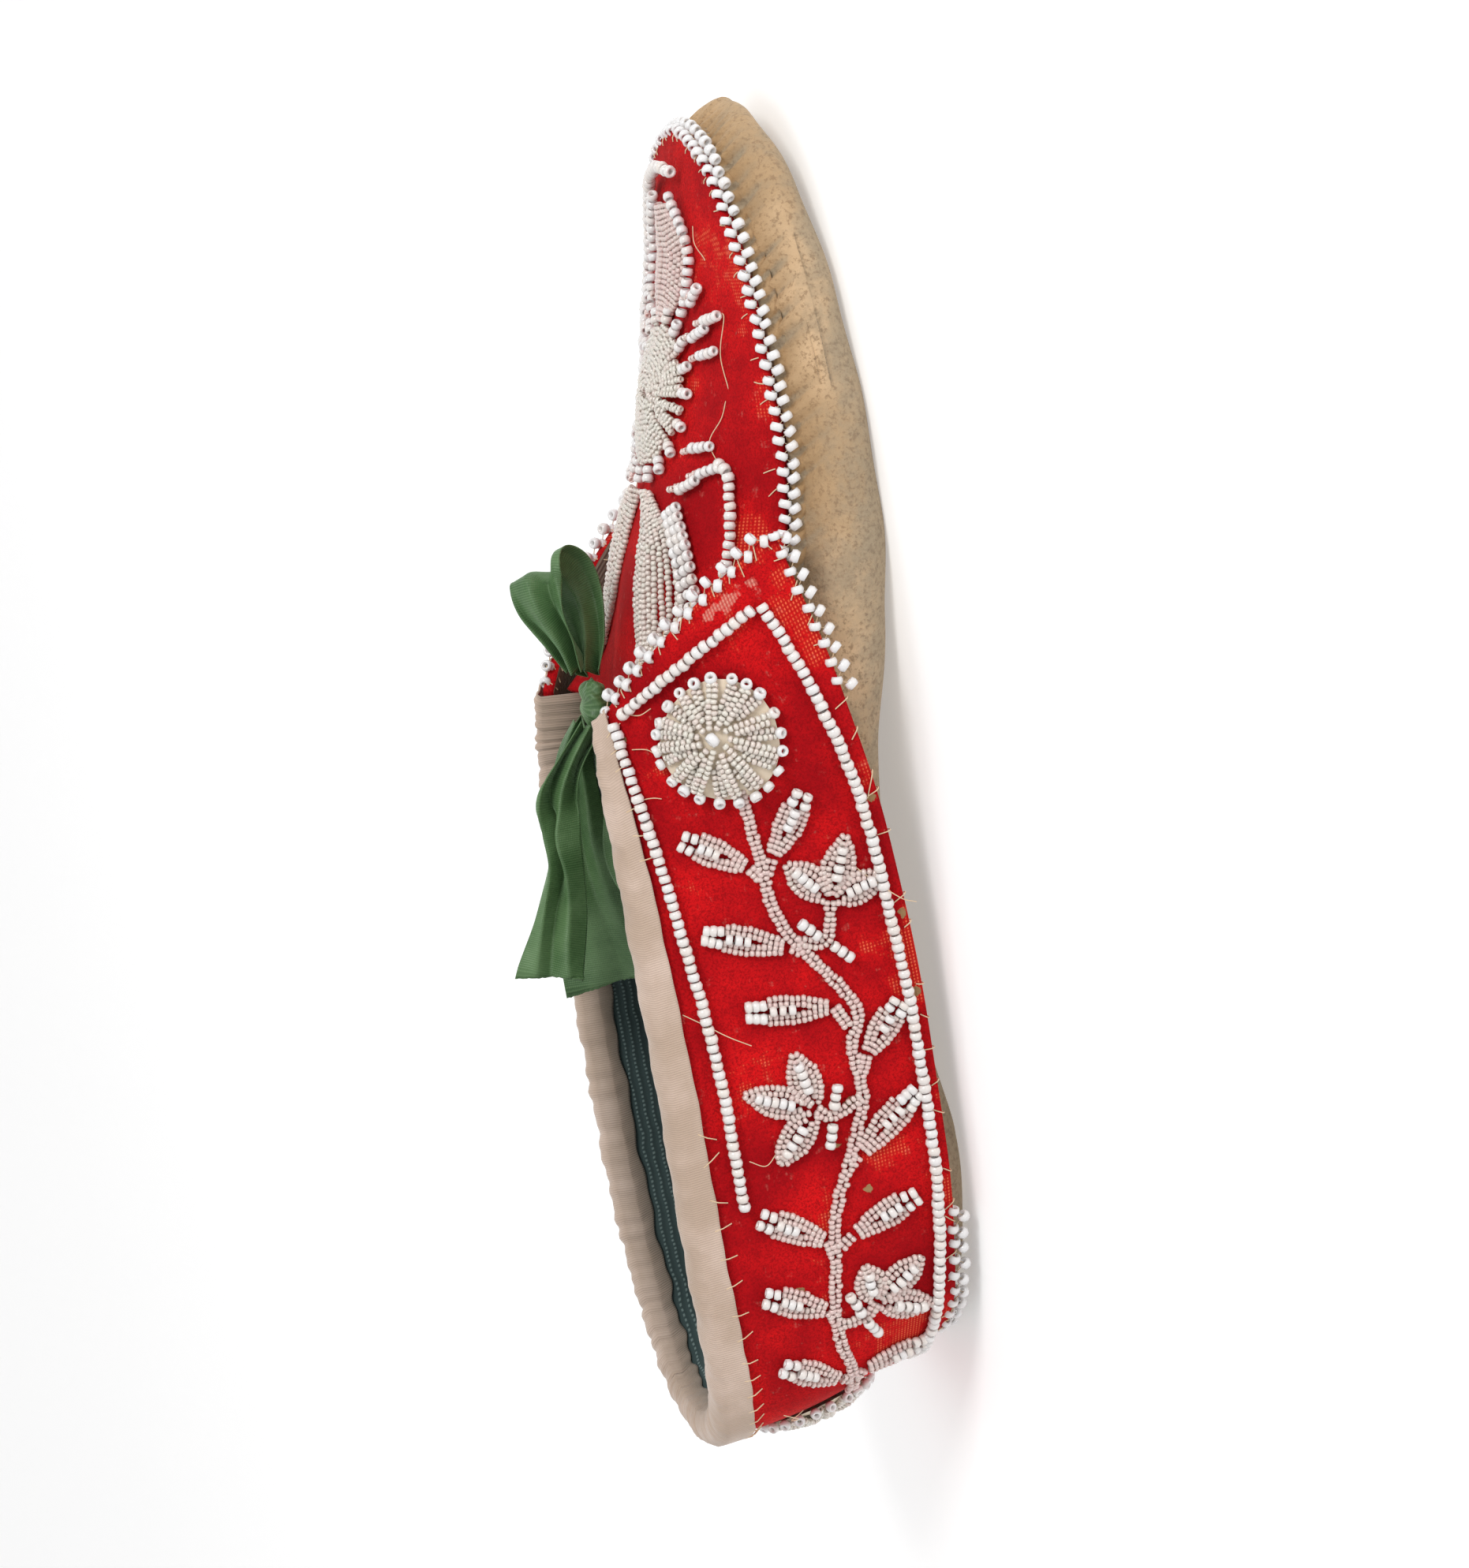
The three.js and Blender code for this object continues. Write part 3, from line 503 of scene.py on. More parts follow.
def times(material, first, second):
    return add_node(material, "ShaderNodeMath", {0: first, 1: second}, operation="MULTIPLY").outputs[0]


def fade(material, value, low, high, to_low=0.0, to_high=1.0):
    """Maps low to high smoothly onto to_low to to_high."""
    inputs = {"Value": value, "From Min": low, "From Max": high, "To Min": to_low, "To Max": to_high}
    return add_node(material, "ShaderNodeMapRange", inputs, interpolation_type="SMOOTHSTEP").outputs[0]


def blend(material, share, first, second):
    """Mixes two colours."""
    node = add_node(material, "ShaderNodeMix", data_type="RGBA")
    for index, value in ((0, share), (6, first), (7, second)):
        if isinstance(value, tuple):
            value = (*value, 1.0)
        feed(material, node.inputs[index], value)
    return node.outputs[2]


WAVE_SCALE = math.pi / 10  # a wave texture of scale 1 repeats every this many units


def ribs_along(material, where, direction, pitch_mm, wobble=0.0):
    """Fine ribs of a weave, 0 to 1, one every pitch of a cloth map in centimetres."""
    inputs = {"Vector": where, "Scale": 10 / pitch_mm * WAVE_SCALE, "Distortion": wobble}
    node = add_node(material, "ShaderNodeTexWave", inputs, bands_direction=direction, wave_profile="SIN")
    return node.outputs["Fac"]


def emboss(material, height, strength, depth_mm, under=None):
    """A bump, laid over another one if that is given."""
    inputs = {"Height": height, "Strength": strength, "Distance": depth_mm * MM}
    if under is not None:
        inputs["Normal"] = under
    return add_node(material, "ShaderNodeBump", inputs).outputs["Normal"]


# %% [markdown]
# ## The hide
# Smoked hide is matt and finely napped, golden tan with darker pores, and dirtied to a grey brown
# where the sole meets the floor and round the heel. It could be painted by hand. Here a noise
# gives the large colour changes and a finer one the pores, and two numbers that are stored on the
# mesh say how dirty each place is, with painted shade added in the hollows of the puckers, and how
# much painted shade darkens it under the vamp's bead edge, so both follow the shape.

# %% The hide's finish
hide_finish = finish("smoked hide", {
    "Roughness": 0.92, "Sheen Weight": 0.25, "Sheen Roughness": 0.5, "Sheen Tint": (1, 0.86, 0.66, 1),
    "Specular IOR Level": 0.2,
})
spot = object_place(hide_finish)
clouds = noise(hide_finish, spot, 26, 4, 0.6)
pores = noise(hide_finish, spot, 1100, 3, 0.7)
blotches = noise(hide_finish, spot, 90, 5, 0.65)
tan = blend(hide_finish, fade(hide_finish, clouds, 0.35, 0.65), (0.46, 0.305, 0.168), (0.69, 0.48, 0.29))
tan = blend(hide_finish, fade(hide_finish, blotches, 0.46, 0.68, 0, 0.75), tan, (0.37, 0.25, 0.145))
tan = blend(hide_finish, fade(hide_finish, pores, 0.5, 0.66, 0, 0.8), tan, (0.30, 0.19, 0.105))
# Painted shade: the number stored near the rim darkens the hide to a deep golden brown, in blotches, just
# under the vamp's bead edge.
patches = fade(hide_finish, blotches, 0.3, 0.7, 0.55, 1)
tan = blend(hide_finish, times(hide_finish, noted(hide_finish, "rim_shade"), patches), tan, (0.33, 0.195, 0.085))
# The stored dirt number greys the hide where it is really dirty, and also lays painted shade in the hollows
# of the puckers.
patches = fade(hide_finish, blotches, 0.3, 0.7, -0.25, 0.25)
soil_and_shade = added(hide_finish, noted(hide_finish, "soil_and_fold_shade"), patches)
grime_and_shade = blend(hide_finish, fade(hide_finish, pores, 0.4, 0.7), (0.36, 0.29, 0.20), (0.25, 0.195, 0.135))
tan = blend(hide_finish, fade(hide_finish, soil_and_shade, 0.2, 1.0, 0, 0.85), tan, grime_and_shade)
drive(hide_finish, "Base Color", tan)
nap = emboss(hide_finish, pores, 0.7, 0.35)
drive(hide_finish, "Normal", emboss(hide_finish, blotches, 0.5, 0.8, nap))

# %% [markdown]
# The hide is one bag. Its grid runs from the toe round the heel and back to the toe, and from the
# sole's middle line up to the rim. The rim is gathered to the vamp in small puckers, and soft
# creases are placed one by one. A brush could draw both, but a formula keeps the puckers as close
# and as uneven as real ones on every rebuild.

# %% The hide's creases and puckers
PUCKER_PITCH = 0.21  # ribs
PUCKER_DEPTH = 1.1
PUCKERS_FROM = 2.35  # how far up the puckers begin
STEPS_PER_RIB = 24
RIM_SHADE = 0.85  # how dark the painted shade under the vamp's bead edge is
CREASES = (  # rib, up, length in ribs, length in up, slant, depth in mm
    (-4.6, 1.9, 0.9, 0.22, 0.25, 1.1),
    (-6.4, 2.1, 0.8, 0.3, -0.3, 0.9),
    (-7.9, 2.1, 0.9, 0.4, 0.3, -0.5),
    (-8.8, 1.9, 1.1, 0.4, -0.2, 0.6),
    (-10.2, 2.0, 0.9, 0.4, 0.15, 0.45),
    (-11.6, 1.9, 0.6, 0.4, -0.2, 0.35),
    (-2.6, 1.8, 0.6, 0.3, -0.3, 0.8),
    (5.2, 1.9, 0.9, 0.22, 0.25, 1.0),
    (7.2, 2.2, 0.9, 0.5, -0.3, 0.6),
    (9.1, 2.0, 1.0, 0.45, 0.2, 0.5),
    (3.1, 1.8, 0.6, 0.3, -0.3, 0.8),
)
ribs = np.linspace(-TOE_ROW, TOE_ROW, 2 * TOE_ROW * STEPS_PER_RIB + 1)
ups = np.concatenate([np.linspace(0, 1, 9)[:-1], np.linspace(1, 2, 11)[:-1], np.linspace(2, 3, 22)])
rib_grid, up_grid = np.meshgrid(ribs, ups)
amount = np.zeros_like(rib_grid)
for rib, up_at, long, high, slant, depth in CREASES:
    along_crease = (rib_grid - rib) / long
    off_crease = (up_grid - up_at - slant * (rib_grid - rib)) / high
    amount -= depth * np.exp(-along_crease ** 2 - off_crease ** 2)
past_throat = np.abs(rib_grid) - THROAT_ROW
gather = np.clip((past_throat - 0.3) / 2.2, 0, 1) * np.clip((up_grid - PUCKERS_FROM) / 0.5, 0, 1)
gather = gather * (0.55 + 0.45 * np.sin(2.9 * rib_grid + 1) * np.sin(7.7 * rib_grid))
puckers = np.sin(2 * np.pi * rib_grid / PUCKER_PITCH + 1.5 * np.sin(3 * rib_grid))
amount += PUCKER_DEPTH * gather * puckers
under_cuff = np.clip((THROAT_ROW + 0.5 - np.abs(rib_grid)) / 0.5, 0, 1)
under_cuff = under_cuff * np.clip((up_grid - 2.3) / 0.4, 0, 1)
amount += np.clip(up_grid - 0.6, 0, 1) * (1 - 0.8 * under_cuff) * (
    0.35 * np.sin(2.3 * rib_grid + 1.2 * up_grid) + 0.25 * np.sin(5.1 * rib_grid - 2.3 * up_grid)
)
print(f"the hide moves by {amount.min():.1f} to {amount.max():.1f} mm")

# %% The hide
hide_spots = hide_outer(rib_grid, up_grid)
outwards = push(hide_spots, np.ones_like(amount)) - hide_spots
from_middle = hide_spots - [0.3 * LENGTH, 0, 0.4 * COLLAR_HEIGHT]
hide_spots = push(hide_spots, amount * np.sign((outwards * from_middle).sum()))
hide_spots[..., 2] = np.maximum(hide_spots[..., 2], 0)
hide_spots[:, -1] = hide_spots[:, 0]
hide = grid_sheet("hide", hide_spots, hide_finish)
heel = np.exp(-(hide_spots[..., 0] / 30) ** 2)
low = np.exp(-hide_spots[..., 2] / 7)
waist = np.clip((150 - hide_spots[..., 0]) / 95, 0, 1)
# Real dirt low down, round the heel and towards the waist, plus painted shade in the hollows of the puckers.
fold_shade = gather * np.clip(-puckers, 0, 1)
soil_and_fold_shade = 1.1 * low + 0.7 * heel * np.exp(-hide_spots[..., 2] / 22) + 0.62 * waist + 1.1 * fold_shade
note(hide, "soil_and_fold_shade", np.clip(soil_and_fold_shade, 0, 1.1))
# Painted shade: the hide is darkened just under the vamp's bead edge, past the throat.
near_rim = np.clip((up_grid - 2.3) / 0.6, 0, 1) ** 1.5
note(hide, "rim_shade", RIM_SHADE * np.clip(past_throat / 0.5, 0, 1) * near_rim)
weld(hide)
thicken(hide, HIDE)
place(hide, "hide", "hide_bag")

# %% [markdown]
# ## The velvet
# Cotton velvet drinks light when seen from the front and glows at its edges, which is what sheen
# does. Its pile is worn through in patches, where the weave shows as fine orange rows, and small
# holes show the brown card under it. Pile could be grown as hair, but at this size it would cost
# far more than it shows. Wear, scuffs and holes are stored on the mesh, and noise frays them.

# %% The velvet's finish
velvet_finish = finish("red velvet", {
    "Roughness": 0.9, "Sheen Weight": 0.13, "Sheen Roughness": 0.35, "Specular IOR Level": 0.12,
    "Sheen Tint": (1.0, 0.22, 0.16, 1),
})
spot = object_place(velvet_finish)
cloth = cloth_place(velvet_finish)
crush = noise(velvet_finish, spot, 55, 4, 0.6)
pile = noise(velvet_finish, spot, 2300, 3, 0.8)
fray = noise(velvet_finish, spot, 420, 4, 0.6)
crushed = fade(velvet_finish, crush, 0.35, 0.68)
red = blend(velvet_finish, crushed, (0.37, 0.002, 0.006), (0.70, 0.007, 0.009))
red = blend(velvet_finish, fade(velvet_finish, pile, 0.42, 0.64, 0, 0.7), red, (0.23, 0.0015, 0.004))
rows = ribs_along(velvet_finish, cloth, "Y", 0.62, 0.4)
threads = ribs_along(velvet_finish, cloth, "X", 0.62, 0.4)
weave = times(velvet_finish, rows, fade(velvet_finish, threads, 0.1, 0.9, 0.45, 1))
thin = fade(velvet_finish, crush, 0.4, 0.7, -0.3, 0.55)
bald = added(velvet_finish, noted(velvet_finish, "wear"), thin)
bald = added(velvet_finish, bald, fade(velvet_finish, fray, 0.3, 0.7, -0.25, 0.25))
bald = fade(velvet_finish, bald, 0.45, 0.85)
shown = fade(velvet_finish, weave, 0.35, 0.8)
ground = blend(velvet_finish, shown, (0.52, 0.012, 0.010), (0.86, 0.13, 0.055))
red = blend(velvet_finish, bald, red, ground)
frayed = fade(velvet_finish, fray, 0.25, 0.75, -0.3, 0.3)
holes = added(velvet_finish, noted(velvet_finish, "hole"), frayed)
frayed = fade(velvet_finish, fray, 0.3, 0.7, -0.5, 0.4)
scuffed = added(velvet_finish, noted(velvet_finish, "scuff"), frayed)
streaks = times(
    velvet_finish, fade(velvet_finish, scuffed, 0.3, 0.65), fade(velvet_finish, weave, 0.1, 0.7, 0.25, 0.8),
)
red = blend(velvet_finish, streaks, red, (0.76, 0.33, 0.26))
card = blend(velvet_finish, fray, (0.42, 0.27, 0.13), (0.26, 0.15, 0.07))
red = blend(velvet_finish, fade(velvet_finish, holes, 0.42, 0.55), red, card)
drive(velvet_finish, "Base Color", red)
lifted = emboss(velvet_finish, pile, 0.5, 0.25)
lifted = emboss(velvet_finish, times(velvet_finish, weave, bald), 0.5, 0.2, lifted)
lifted = emboss(velvet_finish, fade(velvet_finish, holes, 0.4, 0.55), -1.0, 0.5, lifted)
drive(velvet_finish, "Normal", lifted)

# %% The backing's finish
backing_finish = finish("cotton backing", {"Roughness": 0.95, "Base Color": (0.20, 0.15, 0.11, 1)})
cloth = cloth_place(backing_finish)
twill = ribs_along(backing_finish, cloth, "X", 0.8)
drive(backing_finish, "Base Color", blend(backing_finish, twill, (0.16, 0.12, 0.09), (0.26, 0.2, 0.15)))
drive(backing_finish, "Normal", emboss(backing_finish, twill, 0.4, 0.2))

# %% [markdown]
# The cuff is one band of velvet on a cotton backing, whose front corners point down and forwards.
# It could be unwrapped and its wear painted on an image. A short table of worn spots, scuffs and
# holes, each a rib, a height and a radius, keeps the script free of images.

# %% Where the cuff is worn
HOLES = (  # rib, share from the top edge to the hem, radius in mm
    (-3.06, .68, 1.7), (-3.61, .66, 1.3), (-3.38, .59, 1.5), (-2.52, .37, 1.6), (-0.75, .8, 3.4),
    (-1.05, .9, 2.6), (-5.3, .97, 2.0), (-4.6, .98, 1.6), (-6.55, .1, 1.2), (-4.12, .97, 1.5),
    (2.2, .9, 2.2), (3.4, .62, 1.5), (4.9, .4, 1.4), (5.6, .95, 1.8), (1.1, .3, 1.3),
)
WORN = (  # rib, share, radius in mm, strength
    (-3.3, .66, 11, .55), (-2.6, .5, 12, .4), (-5.3, .6, 12, .3), (-6.3, .12, 9, .7), (-1.4, .85, 12, .6),
    (-4.4, .93, 14, .45), (-0.9, .4, 10, .5), (3.2, .6, 13, .5), (1.7, .8, 12, .5), (5.1, .8, 12, .45),
)
SCUFFS = (  # rib, share, radius in mm
    (-6.86, .64, 1.6), (-6.86, .69, 2.1), (-6.85, .74, 2.1), (-6.83, .79, 2.0), (-6.82, .84, 1.6),
    (-3.4, .64, 1.5),
)


def stamped(spots, table):
    """For a table of places on the cuff, how near each point is, 1 at the place and 0 at its radius."""
    total = np.zeros(spots.shape[:-1])
    for rib, down, radius, *strength in table:
        middle = cuff_point(np.array(rib), np.array(down), 0)[0]
        near = 1 - np.linalg.norm(spots - middle, axis=-1) / radius
        total = np.maximum(total, np.clip(near, 0, 1) * (strength[0] if strength else 1))
    return total


# %% The cuff
CUFF_COLUMNS, CUFF_ROWS = 481, 49
ribs = np.linspace(-CUFF_END, CUFF_END, CUFF_COLUMNS)
downs = np.linspace(0, 1, CUFF_ROWS)
rib_grid, down_grid = np.meshgrid(ribs, downs)
cuff_spots = cuff_point(rib_grid, down_grid, 0)[0]
cuff = grid_sheet("velvet_cuff", cuff_spots, velvet_finish, backing_finish)
edge_wear = np.exp(-(1 - down_grid) * 14) + np.exp(-(CUFF_END - np.abs(rib_grid)) * 9)
note(cuff, "wear", stamped(cuff_spots, WORN) + 0.45 * edge_wear)
note(cuff, "hole", stamped(cuff_spots, HOLES))
note(cuff, "scuff", stamped(cuff_spots, SCUFFS))
thicken(cuff, CLOTH - 0.2)
place(cuff, "velvet", "cuff")
cut_from(cuff, cuff_spots, "hung", "hide")

# %% [markdown]
# The vamp is the same velvet, stretched over the foot. Its grid runs along the edge, down one side
# to the toe and back up the other, and from the middle line out. Both middle lines are welded, so
# the sheet has no seam. A slight ripple keeps it from looking pressed.

# %% The vamp
VAMP_STEPS = (TOE_ROW - THROAT_ROW) * 26 + 1
ribs = np.concatenate([
    np.linspace(-THROAT_ROW, -TOE_ROW, VAMP_STEPS),
    np.linspace(TOE_ROW, THROAT_ROW, VAMP_STEPS)[1:],
])
shares = np.linspace(0, 1, 25)
rib_grid, share_grid = np.meshgrid(ribs, shares)
vamp_spots = vamp_top(rib_grid, share_grid)
ripple = 0.3 * np.sin(0.16 * vamp_spots[..., 0]) * np.cos(0.12 * vamp_spots[..., 1])
vamp_spots[..., 2] += ripple * share_grid * (1 - share_grid) * 4
vamp = grid_sheet("velvet_vamp", vamp_spots, velvet_finish, backing_finish)
note(vamp, "wear", 0.35 * np.exp(-(1 - share_grid) * 10) + 0.15)
note(vamp, "hole", np.zeros_like(share_grid))
note(vamp, "scuff", np.zeros_like(share_grid))
weld(vamp)
thicken(vamp, CLOTH)
place(vamp, "velvet", "vamp_panel")
cut_from(vamp, vamp_spots, "stretched", "hide")

# %% [markdown]
# Under the vamp's edge the hide is gathered into a narrow puckered roll. It could be part of the
# bag, but the bag's grid would need to be very fine there. So the roll is a strip of its own, five
# points high, whose puckers have the same pitch as the bag's and run on from them.

# %% The gathered edge of the hide
ROLL_HIDE = 0.3  # thickness of the strip
ROLL_PUCKER = 0.45
ROLL_ROWS = ((0, -0.8), (0.35, 0.4), (0.6, 0.85), (0.85, 0.6), (1, -0.1))  # share of the way up, mm out
ribs = np.linspace(THROAT_ROW + 0.05, TOE_ROW, (TOE_ROW - THROAT_ROW) * 45)
ribs = np.concatenate([-ribs, ribs[::-1][1:]])
lower = hide_outer(ribs, 2.8)
rim = hide_outer(ribs, 3.0)
upper = vamp_top(ribs, 0.985) - [0, 0, CLOTH - 0.2]
puckers = ROLL_PUCKER * np.sin(2 * np.pi * ribs / PUCKER_PITCH + 1.5 * np.sin(3 * ribs))
outwards = unit((vamp_top(ribs, 1.0) - vamp_top(ribs, 0.9)) * [1, 1, 0])
roll_rows = []
for share, out in ROLL_ROWS:
    middle = bend(lower, rim, upper, share)
    roll_rows.append(middle + outwards * (out + puckers * math.sin(math.pi * share))[:, None])
roll = grid_sheet("gathered_edge", np.stack(roll_rows), hide_finish)
every_row = (len(ROLL_ROWS), len(ribs))
# Painted shade in the hollows of the roll's puckers, over a little dirt.
note(roll, "soil_and_fold_shade", np.broadcast_to(0.15 + 2.0 * np.clip(-puckers, 0, 1), every_row).copy())
# Painted shade: the whole roll is darkened, as it lies under the vamp's bead edge.
note(roll, "rim_shade", np.full(every_row, RIM_SHADE))
thicken(roll, ROLL_HIDE)
place(roll, "hide")

# %% [markdown]
# ## The collar's binding
# A faded silk ribbon is folded over the top edge, down both sides. A curve with a bevel would give
# a tube of one width, but the ribbon narrows towards the front and puckers where it turns. So its
# section is a row of points across the fold, and the same row is repeated at every rib. The silk
# is finely ribbed across, and its inside half is darkened with painted shade.

# %% The binding's finish
binding_finish = finish("faded silk ribbon", {
    "Roughness": 0.55, "Sheen Weight": 0.3, "Sheen Roughness": 0.4, "Specular IOR Level": 0.35,
})
spot = object_place(binding_finish)
cloth = cloth_place(binding_finish)
fading = noise(binding_finish, spot, 70, 4, 0.6)
reps = ribs_along(binding_finish, cloth, "X", 0.42, 0.6)
silk = blend(binding_finish, fade(binding_finish, fading, 0.35, 0.7), (0.50, 0.37, 0.28), (0.66, 0.51, 0.42))
silk = blend(binding_finish, fade(binding_finish, reps, 0.2, 0.9, 0, 0.35), silk, (0.43, 0.32, 0.25))
# Painted shade: the half of the ribbon inside the collar is darkened to a grey brown.
silk = blend(binding_finish, noted(binding_finish, "inside_shade"), silk, (0.235, 0.19, 0.15))
drive(binding_finish, "Base Color", silk)
soft = emboss(binding_finish, fading, 0.3, 0.5)
drive(binding_finish, "Normal", emboss(binding_finish, reps, 0.5, 0.12, soft))


# %% How far the binding reaches
BINDING_OUTSIDE = 5.5
BINDING_TAPER = 0.55  # the share of its depth that it loses towards the front


def binding_outside(rib):
    """How far down the cuff's face the binding reaches, in mm."""
    return BINDING_OUTSIDE * (1 - BINDING_TAPER * (np.abs(rib) / CUFF_END) ** 2)


def cuff_height(rib):
    return np.linalg.norm(cuff_face(rib, 1.0) - cuff_face(rib, 0.0), axis=-1)


# %% The binding
BINDING_INSIDE = 2.8
BINDING_LIFT = 0.75  # the ribbon's face above the cloth it covers
FOLD_RISE = 1.5
BINDING_COLUMNS = 521
BINDING_SILK = 0.35  # thickness
ribs = np.linspace(-CUFF_END, CUFF_END, BINDING_COLUMNS)
ease = 0.8 + 0.45 * np.tanh(2 * ribs)  # the near side lies flat, the far side is puckered
scallop = ease * (0.35 * np.sin(9.3 * ribs) + 0.25 * np.sin(21 * ribs + 1))
depth = binding_outside(ribs) + scallop * (1 - 0.6 * np.abs(ribs) / CUFF_END)
fold_rows = []
for share in np.linspace(1, 0.08, 8):
    fold_rows.append(cuff_point(ribs, share * depth / cuff_height(ribs), BINDING_LIFT)[0])
outer_top = fold_rows[-1]
inner_top = hide_inner(ribs, 2.97, HIDE + BINDING_LIFT)
top_z = cuff_face(ribs, 0.0)[:, 2]
for share in np.linspace(0, 1, 9)[1:-1]:
    crest = outer_top * (1 - share) + inner_top * share
    crest[:, 2] = top_z + FOLD_RISE * math.sin(math.pi * share) ** 0.7 + 0.15 * np.sin(14 * ribs + 3 * share)
    fold_rows.append(crest)
rim, side = (rib_point(HIDE_RIBS, part, ribs) for part in ("rim", "side"))
reach = BINDING_INSIDE / (2 * (1 - WALL_UPRIGHT) * (rim[:, 2] - side[:, 2]))
for share in np.linspace(0.05, 1, 8):
    row = hide_inner(ribs, 3 - share * (reach + 0.012 * scallop), HIDE + BINDING_LIFT)
    row[:, 2] += 0.28 * np.sin(23 * ribs + 2 * share) * math.sin(math.pi * share)
    fold_rows.append(row)
fold_spots = np.stack(fold_rows)
crinkle = ease * (0.15 * np.sin(31 * ribs + 2 * np.sin(7 * ribs)) + 0.1 * np.sin(57 * ribs))
fold_spots = push(fold_spots, crinkle[None] * np.hanning(len(fold_spots))[:, None])
binding = grid_sheet("collar_binding_ribbon", fold_spots, binding_finish)
# Painted shade: it grows from the top of the fold to the lowest row inside the collar.
inside = np.clip(np.linspace(-1.1, 1.1, len(fold_spots)), 0, 1)
note(binding, "inside_shade", np.broadcast_to(inside[:, None], fold_spots.shape[:2]))
thicken(binding, BINDING_SILK)
place(binding, "binding", "collar_binding")
cut_from(binding, fold_spots, "folded", "velvet_cuff")

# %% [markdown]
# ## The lining
# The bag is lined with a dark teal cloth with fine pale threads along it. It lies just inside the
# hide, and its top edge is caught under the binding. Its threads could be modelled one by one, but
# only a little of it shows, so a wave pattern on its cloth map draws them. Being seen from inside
# alone, it is a single sheet without a wall.

# %% The lining's finish
lining_finish = finish("teal lining", {"Roughness": 0.85, "Sheen Weight": 0.2, "Specular IOR Level": 0.2})
spot = object_place(lining_finish)
cloth = cloth_place(lining_finish)
stripes = ribs_along(lining_finish, cloth, "Y", 1.15, 2.5)
picks = ribs_along(lining_finish, cloth, "X", 0.7, 0.5)
folds = noise(lining_finish, spot, 60, 3)
teal = blend(lining_finish, folds, (0.030, 0.052, 0.052), (0.055, 0.085, 0.083))
pale = times(lining_finish, fade(lining_finish, stripes, 0.72, 0.95), fade(lining_finish, picks, 0.2, 0.8))
teal = blend(lining_finish, times(lining_finish, pale, 0.75), teal, (0.20, 0.27, 0.26))
drive(lining_finish, "Base Color", teal)
soft = emboss(lining_finish, folds, 0.6, 1.2)
drive(lining_finish, "Normal", emboss(lining_finish, stripes, 0.4, 0.25, soft))

# %% The lining
LINING_TOP = 2.97  # just under the rim
LINING_GAP = 0.5
ribs = np.linspace(-TOE_ROW, TOE_ROW, 2 * TOE_ROW * 10 + 1)
ups = np.concatenate([np.linspace(0, 1, 7)[:-1], np.linspace(1, 2, 7)[:-1], np.linspace(2, LINING_TOP, 12)])
rib_grid, up_grid = np.meshgrid(ribs, ups)
sag = 0.25 * np.sin(3.1 * rib_grid + 2 * up_grid) + 0.2 * np.sin(6.3 * rib_grid - 3 * up_grid)
hide_face = hide_outer(rib_grid, up_grid)
offset = HIDE + LINING_GAP + (1.1 + sag) * np.clip((LINING_TOP - up_grid) / 0.12, 0, 1)
lining_spots = hide_face + (hide_inner(rib_grid, up_grid, 1) - hide_face) * offset[..., None]
lining_spots[0] = sole_middle(ribs) + [0, 0, HIDE + 1.2]
lining_spots[:, -1] = lining_spots[:, 0]
lining = grid_sheet("lining", lining_spots, lining_finish)
weld(lining)
place(lining, "velvet")
cut_from(lining, lining_spots, "stretched", "hide")

# %% [markdown]
# ## Seed beads
# A seed bead is a short thick ring, so one torus is stretched along its axis and then copied to
# every place. Instances on a curve would put them all in step, and thousands of objects would be
# slow. So the copies of one sewn run are written into one mesh, and each gets its own small tilt,
# size and tint, because no two are alike.

# %% One bead
def bead_shape(major, minor, sides, rings):
    """A seed bead 1 across and 0.68 long, with its hole along z."""
    bpy.ops.object.select_all(action="DESELECT")
    bpy.ops.mesh.primitive_torus_add(
        major_segments=sides, minor_segments=rings, major_radius=major, minor_radius=minor,
    )
    bead = bpy.context.object
    bpy.ops.object.mode_set(mode="EDIT")
    bpy.ops.mesh.select_all(action="SELECT")
    bpy.ops.transform.resize(value=(1, 1, 0.34 / minor))
    bpy.ops.object.mode_set(mode="OBJECT")
    spots = np.empty(len(bead.data.vertices) * 3)
    bead.data.vertices.foreach_get("co", spots)
    quads = np.array([list(face.vertices) for face in bead.data.polygons])
    bpy.ops.object.delete()
    return spots.reshape(-1, 3), quads


BIG_BEAD = bead_shape(0.325, 0.175, 12, 6)
SMALL_BEAD = bead_shape(0.315, 0.185, 8, 5)
WHITE = 2.35  # across, in mm
CLEAR = 1.35
WHITE_PITCH = 1.66
CLEAR_PITCH = 0.97


# %% Places along a line
def reach_along(line):
    """How far along a line each of its points lies."""
    return np.concatenate([[0], np.cumsum(np.linalg.norm(np.diff(line, axis=0), axis=1))])


def read_at(where, reached, values):
    """What a line's points say, read at places between them."""
    return np.stack([np.interp(where, reached, values[:, i]) for i in range(3)], -1)


def curve_through(points, steps=10):
    """A smooth line through points with any number of coordinates."""
    points = np.asarray(points, float)
    ends = np.vstack([2 * points[0] - points[1], points, 2 * points[-1] - points[-2]])
    t = np.linspace(0, 1, steps, endpoint=False)[:, None]
    pieces = []
    for a, b, c, d in zip(ends, ends[1:], ends[2:], ends[3:]):
        square, cube = 2 * a - 5 * b + 4 * c - d, 3 * b - a - 3 * c + d
        pieces.append(0.5 * (2 * b + (c - a) * t + square * t ** 2 + cube * t ** 3))
    return np.vstack([*pieces, points[-1:]])


